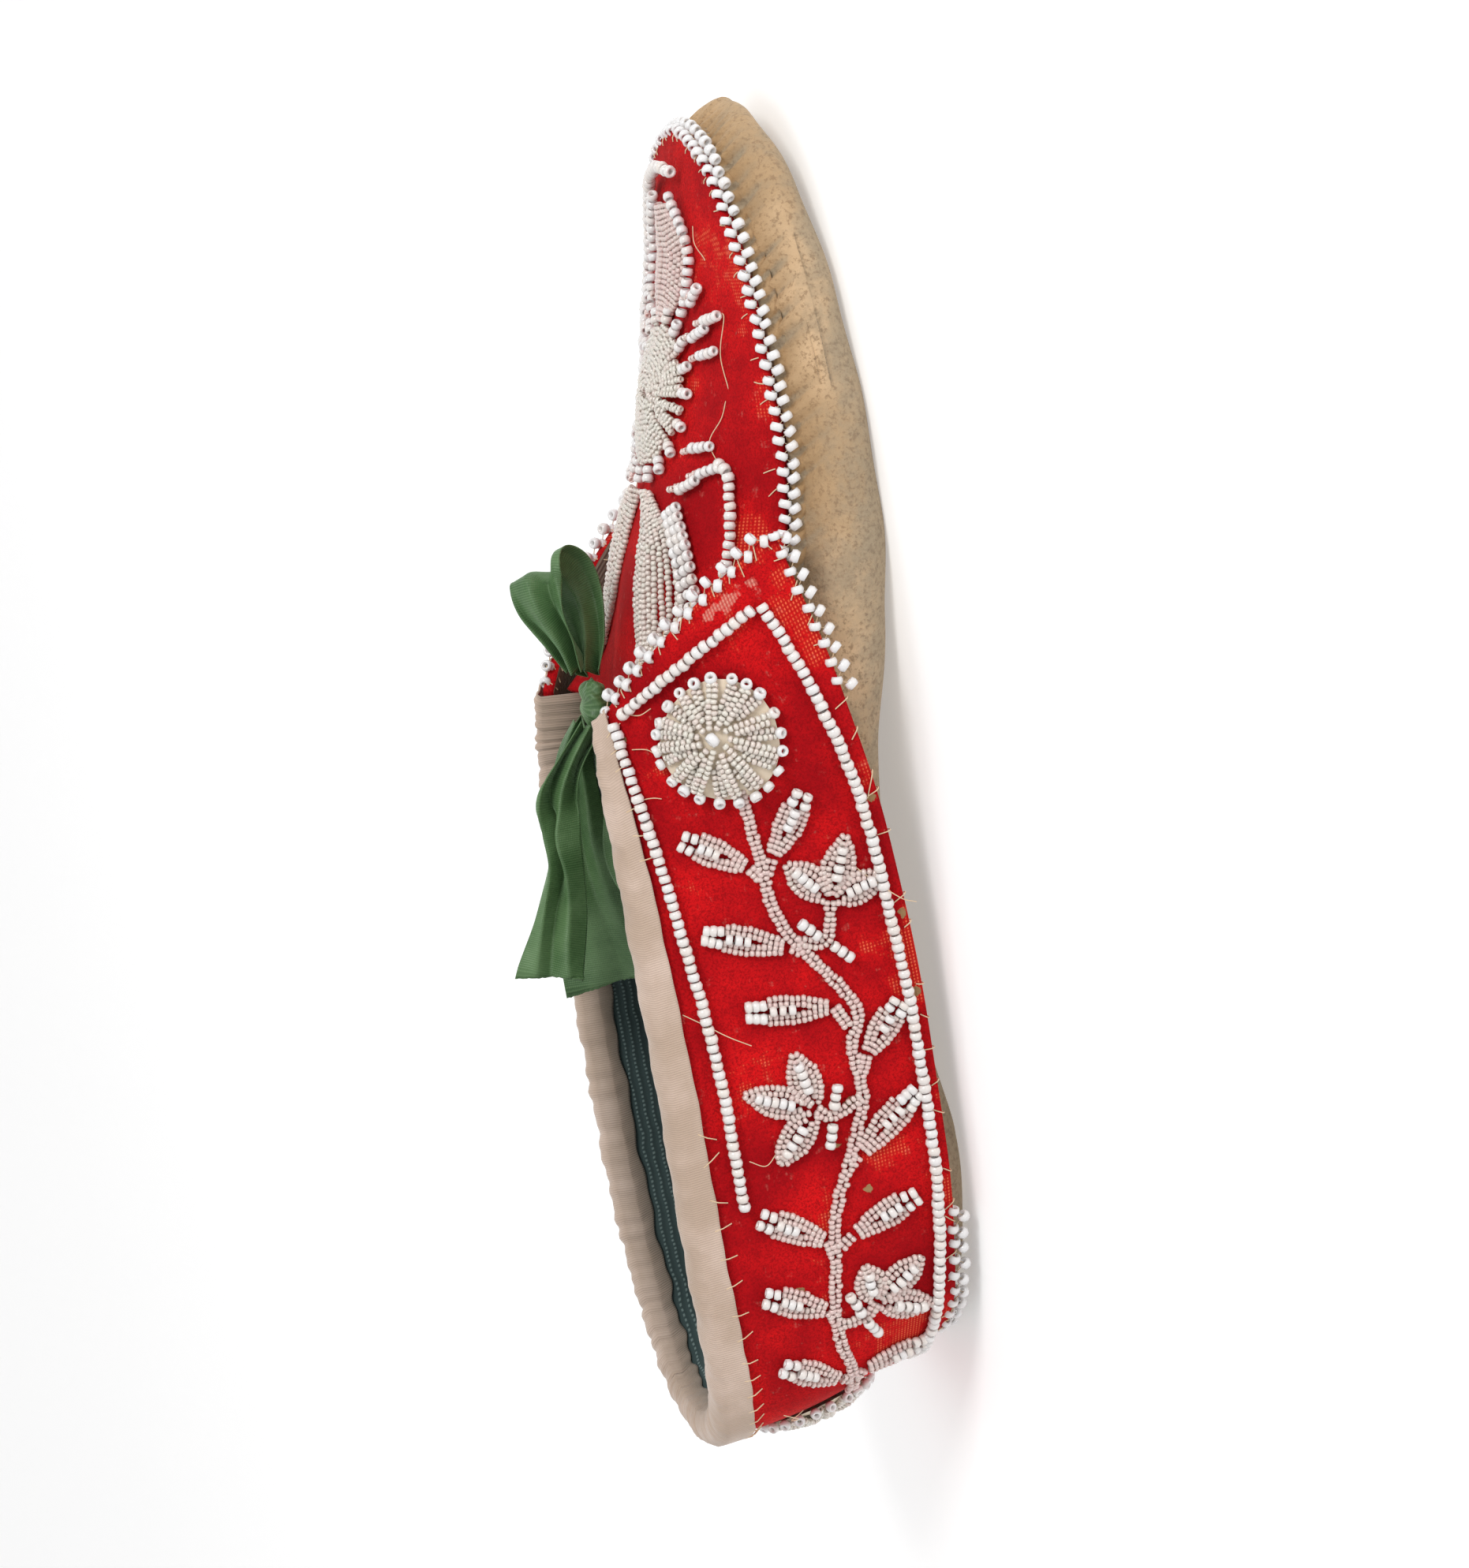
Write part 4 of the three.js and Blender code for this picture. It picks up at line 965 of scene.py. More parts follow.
# %% Runs of beads
class Beads:
    """A run of beads to be written into one mesh."""

    def __init__(self, shape, size):
        self.shape, self.size = shape, size
        self.parts = []

    def add(self, spots, axes, ups, scale=1.0, tint=0.5):
        count = len(spots)
        scale, tint = (np.broadcast_to(np.asarray(value, float), (count,)) for value in (scale, tint))
        self.parts.append((spots, unit(axes), unit(ups), scale * self.size, tint))

    def string(self, line, ups, pitch, scale=1.0, tint=0.5, skip=0.0, wander=0.08):
        """Threads beads along a line of points."""
        reached = reach_along(line)
        count = max(1, round(reached[-1] / pitch))
        at = (np.arange(count) + 0.5) * reached[-1] / count
        spots, normals = read_at(at, reached, line), unit(read_at(at, reached, ups))
        ahead = read_at(np.minimum(at + 0.3, reached[-1]), reached, line)
        tangents = unit(ahead - read_at(np.maximum(at - 0.3, 0), reached, line))
        sideways = np.cross(tangents, normals)
        spots = spots + sideways * dice.normal(0, wander, (count, 1))
        spots = spots + normals * dice.normal(0, wander / 2, (count, 1))
        keep = dice.random(count) >= skip
        self.add(spots[keep], tangents[keep], normals[keep], scale, tint)

    def mesh(self, name, finish_used, slot, *nodes):
        spots, axes, ups, scales, tints = (np.concatenate(part) for part in zip(*self.parts))
        count = len(spots)
        axes = unit(axes + dice.normal(0, 0.07, (count, 3)))
        sideways = unit(np.cross(ups, axes))
        ups = np.cross(axes, sideways)
        turns = np.stack([sideways, ups, axes], -1) * (scales * dice.normal(1, 0.035, count))[:, None, None]
        bead_spots, quads = self.shape
        every = np.einsum("nij,vj->nvi", turns, bead_spots) + spots[:, None]
        faces = quads[None] + len(bead_spots) * np.arange(count)[:, None, None]
        mesh = bpy.data.meshes.new(name)
        mesh.from_pydata((every.reshape(-1, 3) * MM).tolist(), [], faces.reshape(-1, 4).tolist())
        piece = add_object(name, mesh)
        note(piece, "tint", np.repeat(np.clip(tints + dice.normal(0, 0.12, count), 0, 1), len(bead_spots)))
        only(piece)
        bpy.ops.object.shade_smooth()
        mesh.materials.append(finish_used)
        place(piece, slot, *nodes)
        print(f"  {count} beads")


# %% [markdown]
# White beads are opaque glass with a gloss that comes from a coat. The small clear beads could be
# pure glass, but at their size they are hard to see through: they look pinkish over red velvet and
# cream over card. So most of their light is their own colour, and a part passes through.

# %% The beads' finishes
white_finish = finish("opaque white glass", {
    "Roughness": 0.2, "Coat Weight": 0.8, "Coat Roughness": 0.05, "IOR": 1.52, "Specular IOR Level": 0.5,
})
shade = noted(white_finish, "tint")
white = blend(white_finish, fade(white_finish, shade, 0.1, 1), (0.81, 0.80, 0.80), (0.80, 0.71, 0.64))
drive(white_finish, "Base Color", white)

clear_finish = finish("clear glass", {
    "Roughness": 0.06, "IOR": 1.5, "Transmission Weight": 0.35, "Coat IOR": 1.7, "Coat Weight": 1.0,
    "Coat Roughness": 0.04,
})
shade = noted(clear_finish, "tint")
drive(clear_finish, "Base Color", blend(clear_finish, shade, (1.0, 0.72, 0.68), (1.0, 0.95, 0.85)))

# %% [markdown]
# ## Beads along the edges
# Hem and slanted front edges carry a zigzag of beads, sewn over the edge in pairs. It is lost in
# the middle of the right hem, where only the stitches are left. The places come from the edge's
# own line and are then moved to either side of it in turn, so the zigzag bends with the cloth.

# %% Beads on the cuff's edges
FRONT_STEP, HEM_STEP, VAMP_STEP = 1.75, 1.65, 1.34  # from bead to bead along an edge
ZIGZAG_HALF = 0.95  # from the edge's line to either row
ZIGZAG_SLACK = 0.12
HEM_STRETCHES = ((-7, -5.9, 0), (-2.75, 7, 0.03))  # ribs from and to, and the share of beads lost


def zigzag(run, line, ups, sideways, step, tint=0.15, skip=0.0):
    """Beads that step from side to side along a line; gives their places, for the thread."""
    reached = reach_along(line)
    count = int(reached[-1] / step)
    at = (np.arange(count) + 0.5) * reached[-1] / count
    sign = np.where(np.arange(count) % 2, 1, -1)[:, None]
    spots, normals, sides = (read_at(at, reached, values) for values in (line, ups, sideways))
    normals, sides = unit(normals), unit(sides)
    tangents = unit(np.cross(sides, normals))
    spots = spots + sides * (sign * ZIGZAG_HALF + dice.normal(0, ZIGZAG_SLACK, (count, 1)))
    spots = spots + tangents * dice.normal(0, ZIGZAG_SLACK, (count, 1))
    keep = dice.random(count) >= skip
    lean = tangents + 0.45 * sign * sides
    run.add(spots[keep], lean[keep], normals[keep], 1.0, tint)
    return spots


hem_run = Beads(BIG_BEAD, WHITE)
carriers = []  # the threads that carry the zigzags
for side in (-1, 1):
    fronts = np.linspace(0.02, 0.97, 40)
    line, ups = cuff_point(side * CUFF_END, fronts, -CLOTH / 2)
    inner = cuff_point(side * (CUFF_END - 0.15), fronts, -CLOTH / 2)[0]
    sides = unit(line - inner)
    carriers.append(zigzag(hem_run, line + 0.7 * sides + 1.1 * ups, ups, sides, FRONT_STEP))
for start, end, skip in HEM_STRETCHES:
    ribs = np.linspace(start, end, int(abs(end - start) * 40))
    line, ups = cuff_point(ribs, 1.0, -CLOTH / 2)
    inner = cuff_point(ribs, 0.93, -CLOTH / 2)[0]
    sides = unit(line - inner)
    carriers.append(zigzag(hem_run, line + 0.9 * sides + 0.9 * ups, ups, sides, HEM_STEP, skip=skip))
hem_run.mesh("hem_beads", white_finish, "white_beads", "hem_bead_string")

# %% [markdown]
# The same zigzag joins the vamp to the hide, but closer, and it hides the seam. The vamp's edge
# slopes, so the rows are turned to stand half on the velvet and half on the hide.

# %% Beads on the vamp's edge
edge_run = Beads(BIG_BEAD, WHITE)
ribs = np.concatenate([np.linspace(-7.3, -TOE_ROW, 260), np.linspace(TOE_ROW, 7.3, 260)[1:]])
line = vamp_top(ribs, 1.0)
inner = vamp_top(ribs, 0.93)
sides = unit(line - inner)
ups = np.broadcast_to([0, 0, 1.0], line.shape)
ups = unit(ups - sides * (ups * sides).sum(-1, keepdims=True))
seam = line + 0.9 * sides - 0.9 * ups
carriers.append(zigzag(edge_run, seam, unit(ups + sides), unit(sides - 0.8 * ups), VAMP_STEP, skip=0.01))
edge_run.mesh("vamp_edge_beads", white_finish, "white_beads", "vamp_bead_string")

# %% [markdown]
# ## Beadwork on the cuff
# A single string of white beads frames each side, a stem of clear beads winds from the front
# rosette to the heel, and leaves and flowers hang on it. The design could be drawn flat and
# wrapped with a modifier. It is drawn in the cuff's own coordinates instead, a rib and a share of
# the way down, so each bead sits on the cloth and stands straight off it.

# %% The outlines
OUTLINE = ((6.68, .85), (5.55, .925), (4.51, .935), (3.73, .945), (2.87, .94), (1.6, .90), (0.75, .86))
OUTLINE_TOP = ((6.78, .085), (5.84, .115), (4.8, .16), (4.12, .19), (3.17, .205), (2.2, .215), (1.2, .23))


def on_cuff(points, side, lift, steps=10):
    """A smooth line over the cuff, and its normals."""
    path = curve_through(points, steps)
    return cuff_point(side * path[:, 0], path[:, 1], lift)


for side, label in ((-1, "right"), (1, "left")):
    run = Beads(BIG_BEAD, WHITE)
    run.string(*on_cuff(OUTLINE, side, WHITE / 2), WHITE_PITCH)
    run.string(*on_cuff(((6.76, .13), (6.70, .45), (6.68, .82)), side, WHITE / 2), WHITE_PITCH)
    top_line = OUTLINE_TOP[:5] if side < 0 else OUTLINE_TOP  # it ends early on the right side
    run.string(*on_cuff(top_line, side, WHITE / 2), WHITE_PITCH)
    run.mesh(f"outline_beads_{label}", white_finish, "white_beads", f"outline_bead_string_{label}")

# %% [markdown]
# The stem is a double row of clear beads. A leaf is two double rows that part and come together
# again, with a few white beads at its tip and down its middle, and a flower is three such petals
# on a stalk with two short white bars. One function lays a leaf or a petal between any two
# places, so the tables hold places alone.

# %% The drawing of stem, leaves and flowers
STEM = (
    (5.67, .51), (5.3, .505), (4.91, .51), (4.64, .57), (4.15, .74), (3.93, .70), (3.62, .71), (3.32, .64),
    (3.01, .55), (2.68, .52), (2.18, .49), (1.51, .55), (1.1, .55),
)
LEAVES = (  # tip and base
    (5.5, .74, 5.19, .55), (5.53, .23, 5.18, .46), (4.87, .23, 4.62, .54), (4.32, .33, 4.19, .66),
    (4.11, .91, 3.85, .75), (3.56, .92, 3.29, .665), (2.94, .87, 2.8, .60), (3.1, .25, 2.81, .50),
    (2.57, .22, 2.33, .47), (1.42, .89, 1.47, .60), (1.93, .25, 1.48, .50),
)
FLOWERS = (  # centre, petal tips, the two white bars
    ((4.82, .73), ((5.12, .60), (5.16, .84), (4.86, .94)), ((4.69, .63), (4.5, .73))),
    ((3.63, .53), ((3.99, .48), (3.84, .27), (3.38, .36)), ((3.67, .61), (3.45, .57))),
    ((2.27, .66), ((2.57, .63), (2.5, .86), (2.05, .90)), ((2.31, .575), (2.04, .64))),
)
LEAF_HALF = 2.25  # from a leaf's middle to its outer row, in mm
PETAL_HALF = 2.6
ROW = 1.12  # from row to row
BEAD_LIFT = 0.65
STALK_LEAN = 0.12  # a stalk meets the stem this much further back, in ribs
STALK_SHARE = 0.72  # how much of the way to the stem a leaf's stalk is beaded
BAR_HALF = 2.4


# %% One leaf or petal
def cuff_frame(rib, down):
    """The matrix that turns ribs and shares into mm along the shoe and down the cuff, near one place."""
    step = 0.01
    middle, normal = cuff_point(np.array(float(rib)), np.array(float(down)), 0)
    per_rib = (cuff_face(rib + step, down) - cuff_face(rib - step, down)) / (2 * step)
    per_down = (cuff_face(rib, down + step) - cuff_face(rib, down - step)) / (2 * step)
    first = unit(per_rib)
    second = np.cross(first, normal)
    second = second * (1 if second @ per_down > 0 else -1)
    return np.array([[per_rib @ first, per_down @ first], [per_rib @ second, per_down @ second]])


def twice(run, line, ups, **look):
    """Two rows of beads side by side along a line."""
    sideways = np.cross(unit(np.gradient(line, axis=0)), ups) * ROW / 2
    for way in (-1, 1):
        run.string(line + way * sideways, ups, CLEAR_PITCH, **look)


def petal(side, tip, base, half, clear_run, white_run, kind):
    """Double rows of clear beads that part and meet, with white beads at the tip or in the middle."""
    tip, base = np.array(tip), np.array(base)
    to_mm = cuff_frame(*((tip + base) / 2))
    from_mm = np.linalg.inv(to_mm)
    length = np.linalg.norm(to_mm @ (tip - base))
    ahead = to_mm @ (tip - base) / length
    beside = np.array([-ahead[1], ahead[0]])

    def lay(run, shares, offs, lift, pitch, **look):
        flat = ahead[None] * (np.array(shares) * length)[:, None] + beside[None] * np.array(offs)[:, None]
        spots = base + flat @ from_mm.T
        run.string(*cuff_point(side * spots[:, 0], spots[:, 1], lift), pitch, **look)

    shares = np.linspace(0.06, 1, 24)
    if kind == "leaf":
        outline = half * np.sin(np.pi * np.clip(0.08 + 0.72 * shares, 0, 1))
        body, end = shares <= 0.76, shares >= 0.72
        for way in (-1, 1):
            lay(clear_run, shares[body], way * outline[body], BEAD_LIFT, CLEAR_PITCH, tint=0.25)
            inner = np.maximum(outline[body] - ROW, 0.4)
            lay(clear_run, shares[body], way * inner, BEAD_LIFT, CLEAR_PITCH, tint=0.25)
            tip_row = way * np.maximum(outline[end] * 0.6, 1.0)
            lay(white_run, shares[end], tip_row, BEAD_LIFT + 0.4, 1.5, scale=0.88)
        lay(white_run, [0.42, 0.74], [0, 0], BEAD_LIFT + 0.6, 1.5, scale=0.85)
    else:
        outline = half * np.sin(np.pi * np.clip(shares, 0, 1)) ** 0.8
        for way in (-1, 1):
            lay(clear_run, shares, way * outline, BEAD_LIFT, CLEAR_PITCH, tint=0.35)
            inner = np.maximum(outline[3:-2] - ROW, 0.3)
            lay(clear_run, shares[3:-2], way * inner, BEAD_LIFT + 0.15, CLEAR_PITCH, tint=0.35)
        lay(white_run, [0.3, 0.86], [0, 0], BEAD_LIFT + 0.85, 1.6, scale=0.9)


# %% The sprays
stem_line = curve_through(STEM)


def nearest_on(line, rib, down):
    """The point of a drawn line that is nearest to a place; a share down counts double."""
    return line[np.argmin(np.hypot(line[:, 0] - rib, 2 * (line[:, 1] - down)))]


for side, label in ((-1, "right"), (1, "left")):
    clear_run, white_run = Beads(SMALL_BEAD, CLEAR), Beads(BIG_BEAD, WHITE)
    twice(clear_run, *on_cuff(STEM, side, BEAD_LIFT), tint=0.2, wander=0.14)
    for tip_rib, tip_down, base_rib, base_down in LEAVES:
        petal(side, (tip_rib, tip_down), (base_rib, base_down), LEAF_HALF, clear_run, white_run, "leaf")
        base = np.array([base_rib, base_down])
        joint = nearest_on(stem_line, base_rib - STALK_LEAN, base_down)
        stalk = (base, base + STALK_SHARE * (joint - base))
        twice(clear_run, *on_cuff(stalk, side, BEAD_LIFT, 4), tint=0.2)
    for centre, tips, bars in FLOWERS:
        for tip in tips:
            petal(side, tip, centre, PETAL_HALF, clear_run, white_run, "petal")
        bars = np.array(bars)
        middle = bars.mean(0)
        joint = nearest_on(np.array(STEM), *middle)
        twice(clear_run, *on_cuff((centre, middle, joint), side, BEAD_LIFT), tint=0.3)
        to_mm = cuff_frame(*middle)
        apart = to_mm @ (bars[1] - bars[0])
        way = np.linalg.inv(to_mm) @ (apart / np.linalg.norm(apart) * BAR_HALF)
        for bar in bars:
            white_run.string(*on_cuff((bar - way, bar + way), side, BEAD_LIFT + 0.35, 4), 1.6, scale=0.92)
    clear_run.mesh(f"spray_clear_beads_{label}", clear_finish, "clear_beads")
    white_run.mesh(f"spray_white_beads_{label}", white_finish, "white_beads")

# %% [markdown]
# ## Rosettes
# A rosette is a card disc with loops of clear beads laid over it like spokes. Every spoke ends in
# a white bead that stands with its hole up, and one white bead sits in the middle. One spoke could
# be modelled and turned round the middle, but sewn spokes differ in length and height, so each is
# strung by itself over a low dome.

# %% The rosettes
ROSETTE_RADIUS = 12.0
ROSETTE_RISE = 2.3
SPOKES = 22
SPOKE_END = 9.7
WHITE_RING = 11.0
ROSETTES = (("heel", 0.0, 0.5, 1), ("left", 6.06, 0.49, 1), ("right", 6.06, 0.49, -1))

card_finish = finish("cream card", {"Roughness": 0.9, "Base Color": (0.84, 0.72, 0.56, 1)})
fibres = noise(card_finish, object_place(card_finish), 900)
drive(card_finish, "Normal", emboss(card_finish, fibres, 0.4, 0.2))


def rosette_point(rib, down, side, radius, angle, lift):
    """A point of the rosette's dome, from a radius in mm and an angle round its middle."""
    from_mm = np.linalg.inv(cuff_frame(rib, down))
    flat = np.stack([radius * np.cos(angle), radius * np.sin(angle)], -1) @ from_mm.T
    dome = ROSETTE_RISE * (1 - (np.asarray(radius) / ROSETTE_RADIUS) ** 2)
    return cuff_point(side * (rib + flat[..., 0]), down + flat[..., 1], dome + lift)


for label, rib, down, side in ROSETTES:
    clear_run, white_run = Beads(SMALL_BEAD, CLEAR), Beads(BIG_BEAD, WHITE)
    for i in range(SPOKES):
        angle = 2 * math.pi * (i + 0.08 * dice.normal()) / SPOKES
        start = (1.6 if i % 2 else 3.2) + 0.9 * dice.random()
        along_spoke = np.linspace(0, 1, 8)
        lean = 0.04 * dice.normal()
        for way in (0, 1):
            reach = SPOKE_END + 0.8 * dice.random()
            radii = np.linspace(start + 1.6 * way, reach, 8)
            angles = angle + lean * along_spoke + (way - 0.5) * 1.0 / radii
            lift = (1.15 if i % 2 else 0.45) + 0.45 * np.sin(np.pi * along_spoke)
            line, ups = rosette_point(rib, down, side, radii, angles, lift)
            clear_run.string(line, ups, CLEAR_PITCH, tint=0.85, wander=0.05)
        spots, ups = rosette_point(rib, down, side, np.array([WHITE_RING]), np.array([angle]), 1.2)
        inner = rosette_point(rib, down, side, np.array([WHITE_RING - 2]), np.array([angle]), 1.2)[0]
        outwards = unit(spots - inner)
        standing = 0.75 * ups + 0.65 * outwards + 0.2 * dice.normal(0, 1, (1, 3))
        white_run.add(spots, standing, np.cross(ups, outwards), 0.95, 0.3)
    spots, ups = rosette_point(rib, down, side, np.array([0.0]), np.array([0.0]), 1.5)
    white_run.add(spots, np.roll(ups, 1, axis=-1), ups, 1.1, 0.2)
    clear_run.mesh(f"rosette_{label}_clear_beads", clear_finish, "clear_beads", f"rosette_{label}")
    white_run.mesh(f"rosette_{label}_white_beads", white_finish, "white_beads")
    radii, angles = np.meshgrid(np.linspace(0, ROSETTE_RADIUS - 1.4, 7), np.linspace(0, 2 * np.pi, 37))
    disc_spots = rosette_point(rib, down, side, radii, angles, 0.15)[0].transpose(1, 0, 2)
    card = grid_sheet(f"rosette_{label}_card", disc_spots, card_finish)
    weld(card)
    place(card, "clear_beads")

# %% [markdown]
# ## Beadwork on the vamp
# The vamp's motif is raised: a long leaf at the toe, a round flower, small sprigs and two leaves
# that spread to the throat. A padded cushion under the beads would be hidden by them, so it is
# left out, and the rows themselves stand higher towards the middle of each form. Places are in mm
# from the throat along the shoe and from the middle.

# %% The motif's own coordinates
MOTIF_SPREAD = 1.28  # the motif is spread with the vamp, which is wider here than in the photograph
TUFT_PITCH, TUFT_SIZE = 1.55, 0.9  # the short white rows of the motif


def on_vamp(points, side, lift, steps=10, spread=MOTIF_SPREAD):
    path = curve_through(points, steps)
    return vamp_point(THROAT_X + path[:, 0], side * spread * path[:, 1], lift)


# %% The motif's leaves, sprigs and lines
THROAT_LEAF_LIFTS = (0.7, 1.1, 1.5, 1.8, 2.0, 2.0, 1.8, 1.5, 1.1)  # one for each row
THROAT_TUFTS = ((33, 11.5), (25, 15.5), (15, 18.5), (6, 20))
THROAT_LINE = ((4, 24), (16, 27.5), (27, 28.5), (36, 27.5), (40, 26.5), (41.5, 24.2))
SPRIGS = (  # place, and how far it is turned from straight across
    (37.5, 14, 0.5), (40, 18, 0.3), (44, 16, 0.1), (60, 16, 0.2), (63.5, 13.5, 0.5), (66, 16.5, 0.3),
    (70, 11.5, 0.9),
)
SPRIG_HALF = 2.2
TOE_LEAF = ((65, 1.2), (71, 5.6), (78, 6.0), (86, 1.6))
TOE_LEAF_ROWS = ((1, 0.8), (0.83, 1.1), (0.66, 1.4), (0.49, 1.6), (0.32, 1.8), (0.15, 1.9))  # share, lift
TOE_LEAF_RIM = ((66, 7.5), (72, 8.8), (80, 8.2), (88, 3.6))
TOE_LINE = ((46, 22), (58, 21), (70, 18.5), (80, 14.5), (88.5, 8), (92.5, 0), (91.5, -7))


def throat_leaf_row(k):
    """Row k of the leaf that spreads from the flower to the throat."""
    inset = 0.9 + 1.04 * k
    wide_part = ((28, 3.0 + inset), (17, 5.2 + inset * 1.15), (8, 9 + inset * 0.85), (4, 11 + inset * 0.6))
    return ((36, 2.0 + 0.2 * k), *wide_part)


clear_run, white_run = Beads(SMALL_BEAD, CLEAR), Beads(BIG_BEAD, WHITE)
for side in (-1, 1):
    for k, lift in enumerate(THROAT_LEAF_LIFTS):
        line, ups = on_vamp(throat_leaf_row(k), side, lift)
        clear_run.string(line, ups, CLEAR_PITCH, tint=0.75, wander=0.12)
    for x, y in curve_through(THROAT_TUFTS, 5):
        line, ups = on_vamp(((x - 0.9, y - 1.3), (x + 0.9, y + 1.3)), side, 1.6, 3)
        white_run.string(line, ups, TUFT_PITCH, scale=TUFT_SIZE, tint=0.45)
    white_run.string(*on_vamp(THROAT_LINE, side, WHITE / 2, spread=1), WHITE_PITCH)
    for x, y, turn in SPRIGS:
        way = np.array([math.sin(turn), math.cos(turn)]) * SPRIG_HALF
        line, ups = on_vamp(((x, y) - way, (x, y) + way), side, 1.5, 3)
        white_run.string(line, ups, TUFT_PITCH, scale=TUFT_SIZE, tint=0.4)
        line, ups = on_vamp(((x - 1, y - 4.5), (x, y - 1.5)), side, 1.2, 4)
        clear_run.string(line, ups, CLEAR_PITCH, tint=0.4)
    for share, lift in TOE_LEAF_ROWS:
        line, ups = on_vamp([(x, y * share) for x, y in TOE_LEAF], side, lift)
        clear_run.string(line, ups, CLEAR_PITCH, tint=0.3)
    white_run.string(*on_vamp(TOE_LEAF_RIM, side, 1.3), 1.9, scale=0.92, tint=0.35)
white_run.string(*on_vamp(TOE_LINE, 1, WHITE / 2, spread=1.1), WHITE_PITCH)

# %% The motif's flower
FLOWER_X, FLOWER_RADIUS, PETALS = 52.5, 12.3, 56
for i in range(PETALS):
    angle = 2 * math.pi * (i + 0.2 * dice.normal()) / PETALS
    way = np.array([math.cos(angle), math.sin(angle)])
    start = (0.6, 5.6, 3.2, 5.6)[i % 4] + 1.5 * dice.random()
    radii = np.linspace(start, FLOWER_RADIUS + 0.5 * dice.normal(), 7)
    spots = np.array([FLOWER_X, 0]) + radii[:, None] * way
    lifts = 1.2 + 1.7 * (1 - (radii / FLOWER_RADIUS) ** 2)
    line, ups = vamp_point(THROAT_X + spots[:, 0], spots[:, 1], lifts)
    clear_run.string(line, ups, CLEAR_PITCH, tint=0.9, wander=0.12)
    if i % 3 == 0:
        ends = np.array([FLOWER_X, 0]) + np.array([[FLOWER_RADIUS + 0.3], [FLOWER_RADIUS + 3.2]]) * way
        line, ups = vamp_point(THROAT_X + ends[:, 0], ends[:, 1], 1.4)
        white_run.string(line, ups, TUFT_PITCH, scale=TUFT_SIZE, tint=0.45)
clear_run.mesh("vamp_clear_beads", clear_finish, "clear_beads", "vamp_motif")
white_run.mesh("vamp_white_beads", white_finish, "white_beads")

# %% [markdown]
# ## The ribbon bow
# The bow is a strip of green silk, gathered into its knot and spreading where it is free. The silk
# is ribbed both ways, so two waves are multiplied into a grain that drives its colour and its bump.

# %% The silk's finish
silk_finish = finish("green silk", {
    "Roughness": 0.42, "Sheen Weight": 0.4, "Sheen Roughness": 0.3, "Specular IOR Level": 0.4,
    "Anisotropic": 0.4, "Sheen Tint": (0.6, 1.0, 0.55, 1),
})
spot = object_place(silk_finish)
cloth = cloth_place(silk_finish)
reps = ribs_along(silk_finish, cloth, "X", 0.4, 0.3)
warp = ribs_along(silk_finish, cloth, "Y", 0.34, 0.3)
fading = noise(silk_finish, spot, 120, 4, 0.6)
green = blend(silk_finish, fade(silk_finish, fading, 0.3, 0.7), (0.045, 0.11, 0.034), (0.10, 0.19, 0.075))
grain = times(silk_finish, reps, fade(silk_finish, warp, 0, 1, 0.55, 1))
green = blend(silk_finish, fade(silk_finish, grain, 0.3, 0.9, 0, 0.5), green, (0.16, 0.275, 0.12))
drive(silk_finish, "Base Color", green)
soft = emboss(silk_finish, fading, 0.35, 0.8)
drive(silk_finish, "Normal", emboss(silk_finish, grain, 0.55, 0.1, soft))

# %% [markdown]
# A bow can be tied in a simulation, but this one has to lie as in the photograph, so every strip
# follows stations that are measured from the knot. They are the ones that shaped the CAD solids.
# Where the ribbon is drawn in, its width is not lost: it goes into pleats, so the pleats are as
# deep as the missing width asks for.

# %% The bow's stations
RIBBON_WIDTH = 17.0
RIBBON_THICKNESS = 0.25
RIBBON_ROWS = 37  # points across the ribbon
PLEATS = 1.7
OBLIQUE = 1.4  # how far an end is cut off the square, in mm
BOW = {  # place from the knot in ribbon widths, the way the width lies, and how much of it is spread
    "ribbon_loop_front": (
        (.31, .06, -.01, 0, .5, .8, .24), (.71, .24, -.05, .2, .5, .8, .5), (1.12, .34, .0, .2, .4, .9, .72),
        (1.4, .3, .12, -.2, .4, .9, .8), (1.5, .16, .28, -.5, .3, .8, .7),
        (1.4, .02, .42, -.3, .4, .85, .62), (1.09, -.05, .42, .2, .4, .9, .5),
        (.71, -.05, .27, .4, .3, .9, .32), (.39, -.02, .15, .4, .4, .8, .22),
    ),
    "ribbon_loop_back": (
        (-.31, .02, -.05, 0, .9, .4, .24), (-.82, -.09, .01, .1, .95, .3, .5),
        (-1.47, -.21, 0, .1, .95, .3, .72), (-2, -.24, -.11, 0, .95, .3, .8),
        (-2.21, -.24, -.28, 0, .97, .2, .8), (-1.88, -.21, -.44, 0, .98, .2, .72),
        (-1.12, -.09, -.4, 0, 1, .1, .45),
    ),
    "ribbon_tail_right": (
        (-.25, -.08, .11, .4, .3, .85, .22), (-.56, -.18, .41, .5, .2, .8, .26),
        (-.91, -.21, .61, .2, .3, .93, .42), (-1.26, -.21, .64, .2, .85, .5, .34),
        (-1.68, -.21, .66, .2, .6, .8, .38), (-2.21, -.21, .78, .2, .25, .95, .55),
        (-2.76, -.24, 1, .3, .1, .95, .72),
    ),
    "ribbon_tail_left": (
        (-.2, .21, .09, .2, .3, .9, .22), (-.71, .38, .24, .1, .4, .9, .42),
        (-1.53, .53, .27, .1, .5, .85, .66), (-2.41, .62, .26, .1, .5, .85, .84),
        (-3.18, .65, .22, .2, .5, .85, .92),
    ),
}
knot_low, knot_high = (np.array(corner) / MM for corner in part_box("ribbon_knot"))
knot_middle = (knot_low + knot_high) / 2


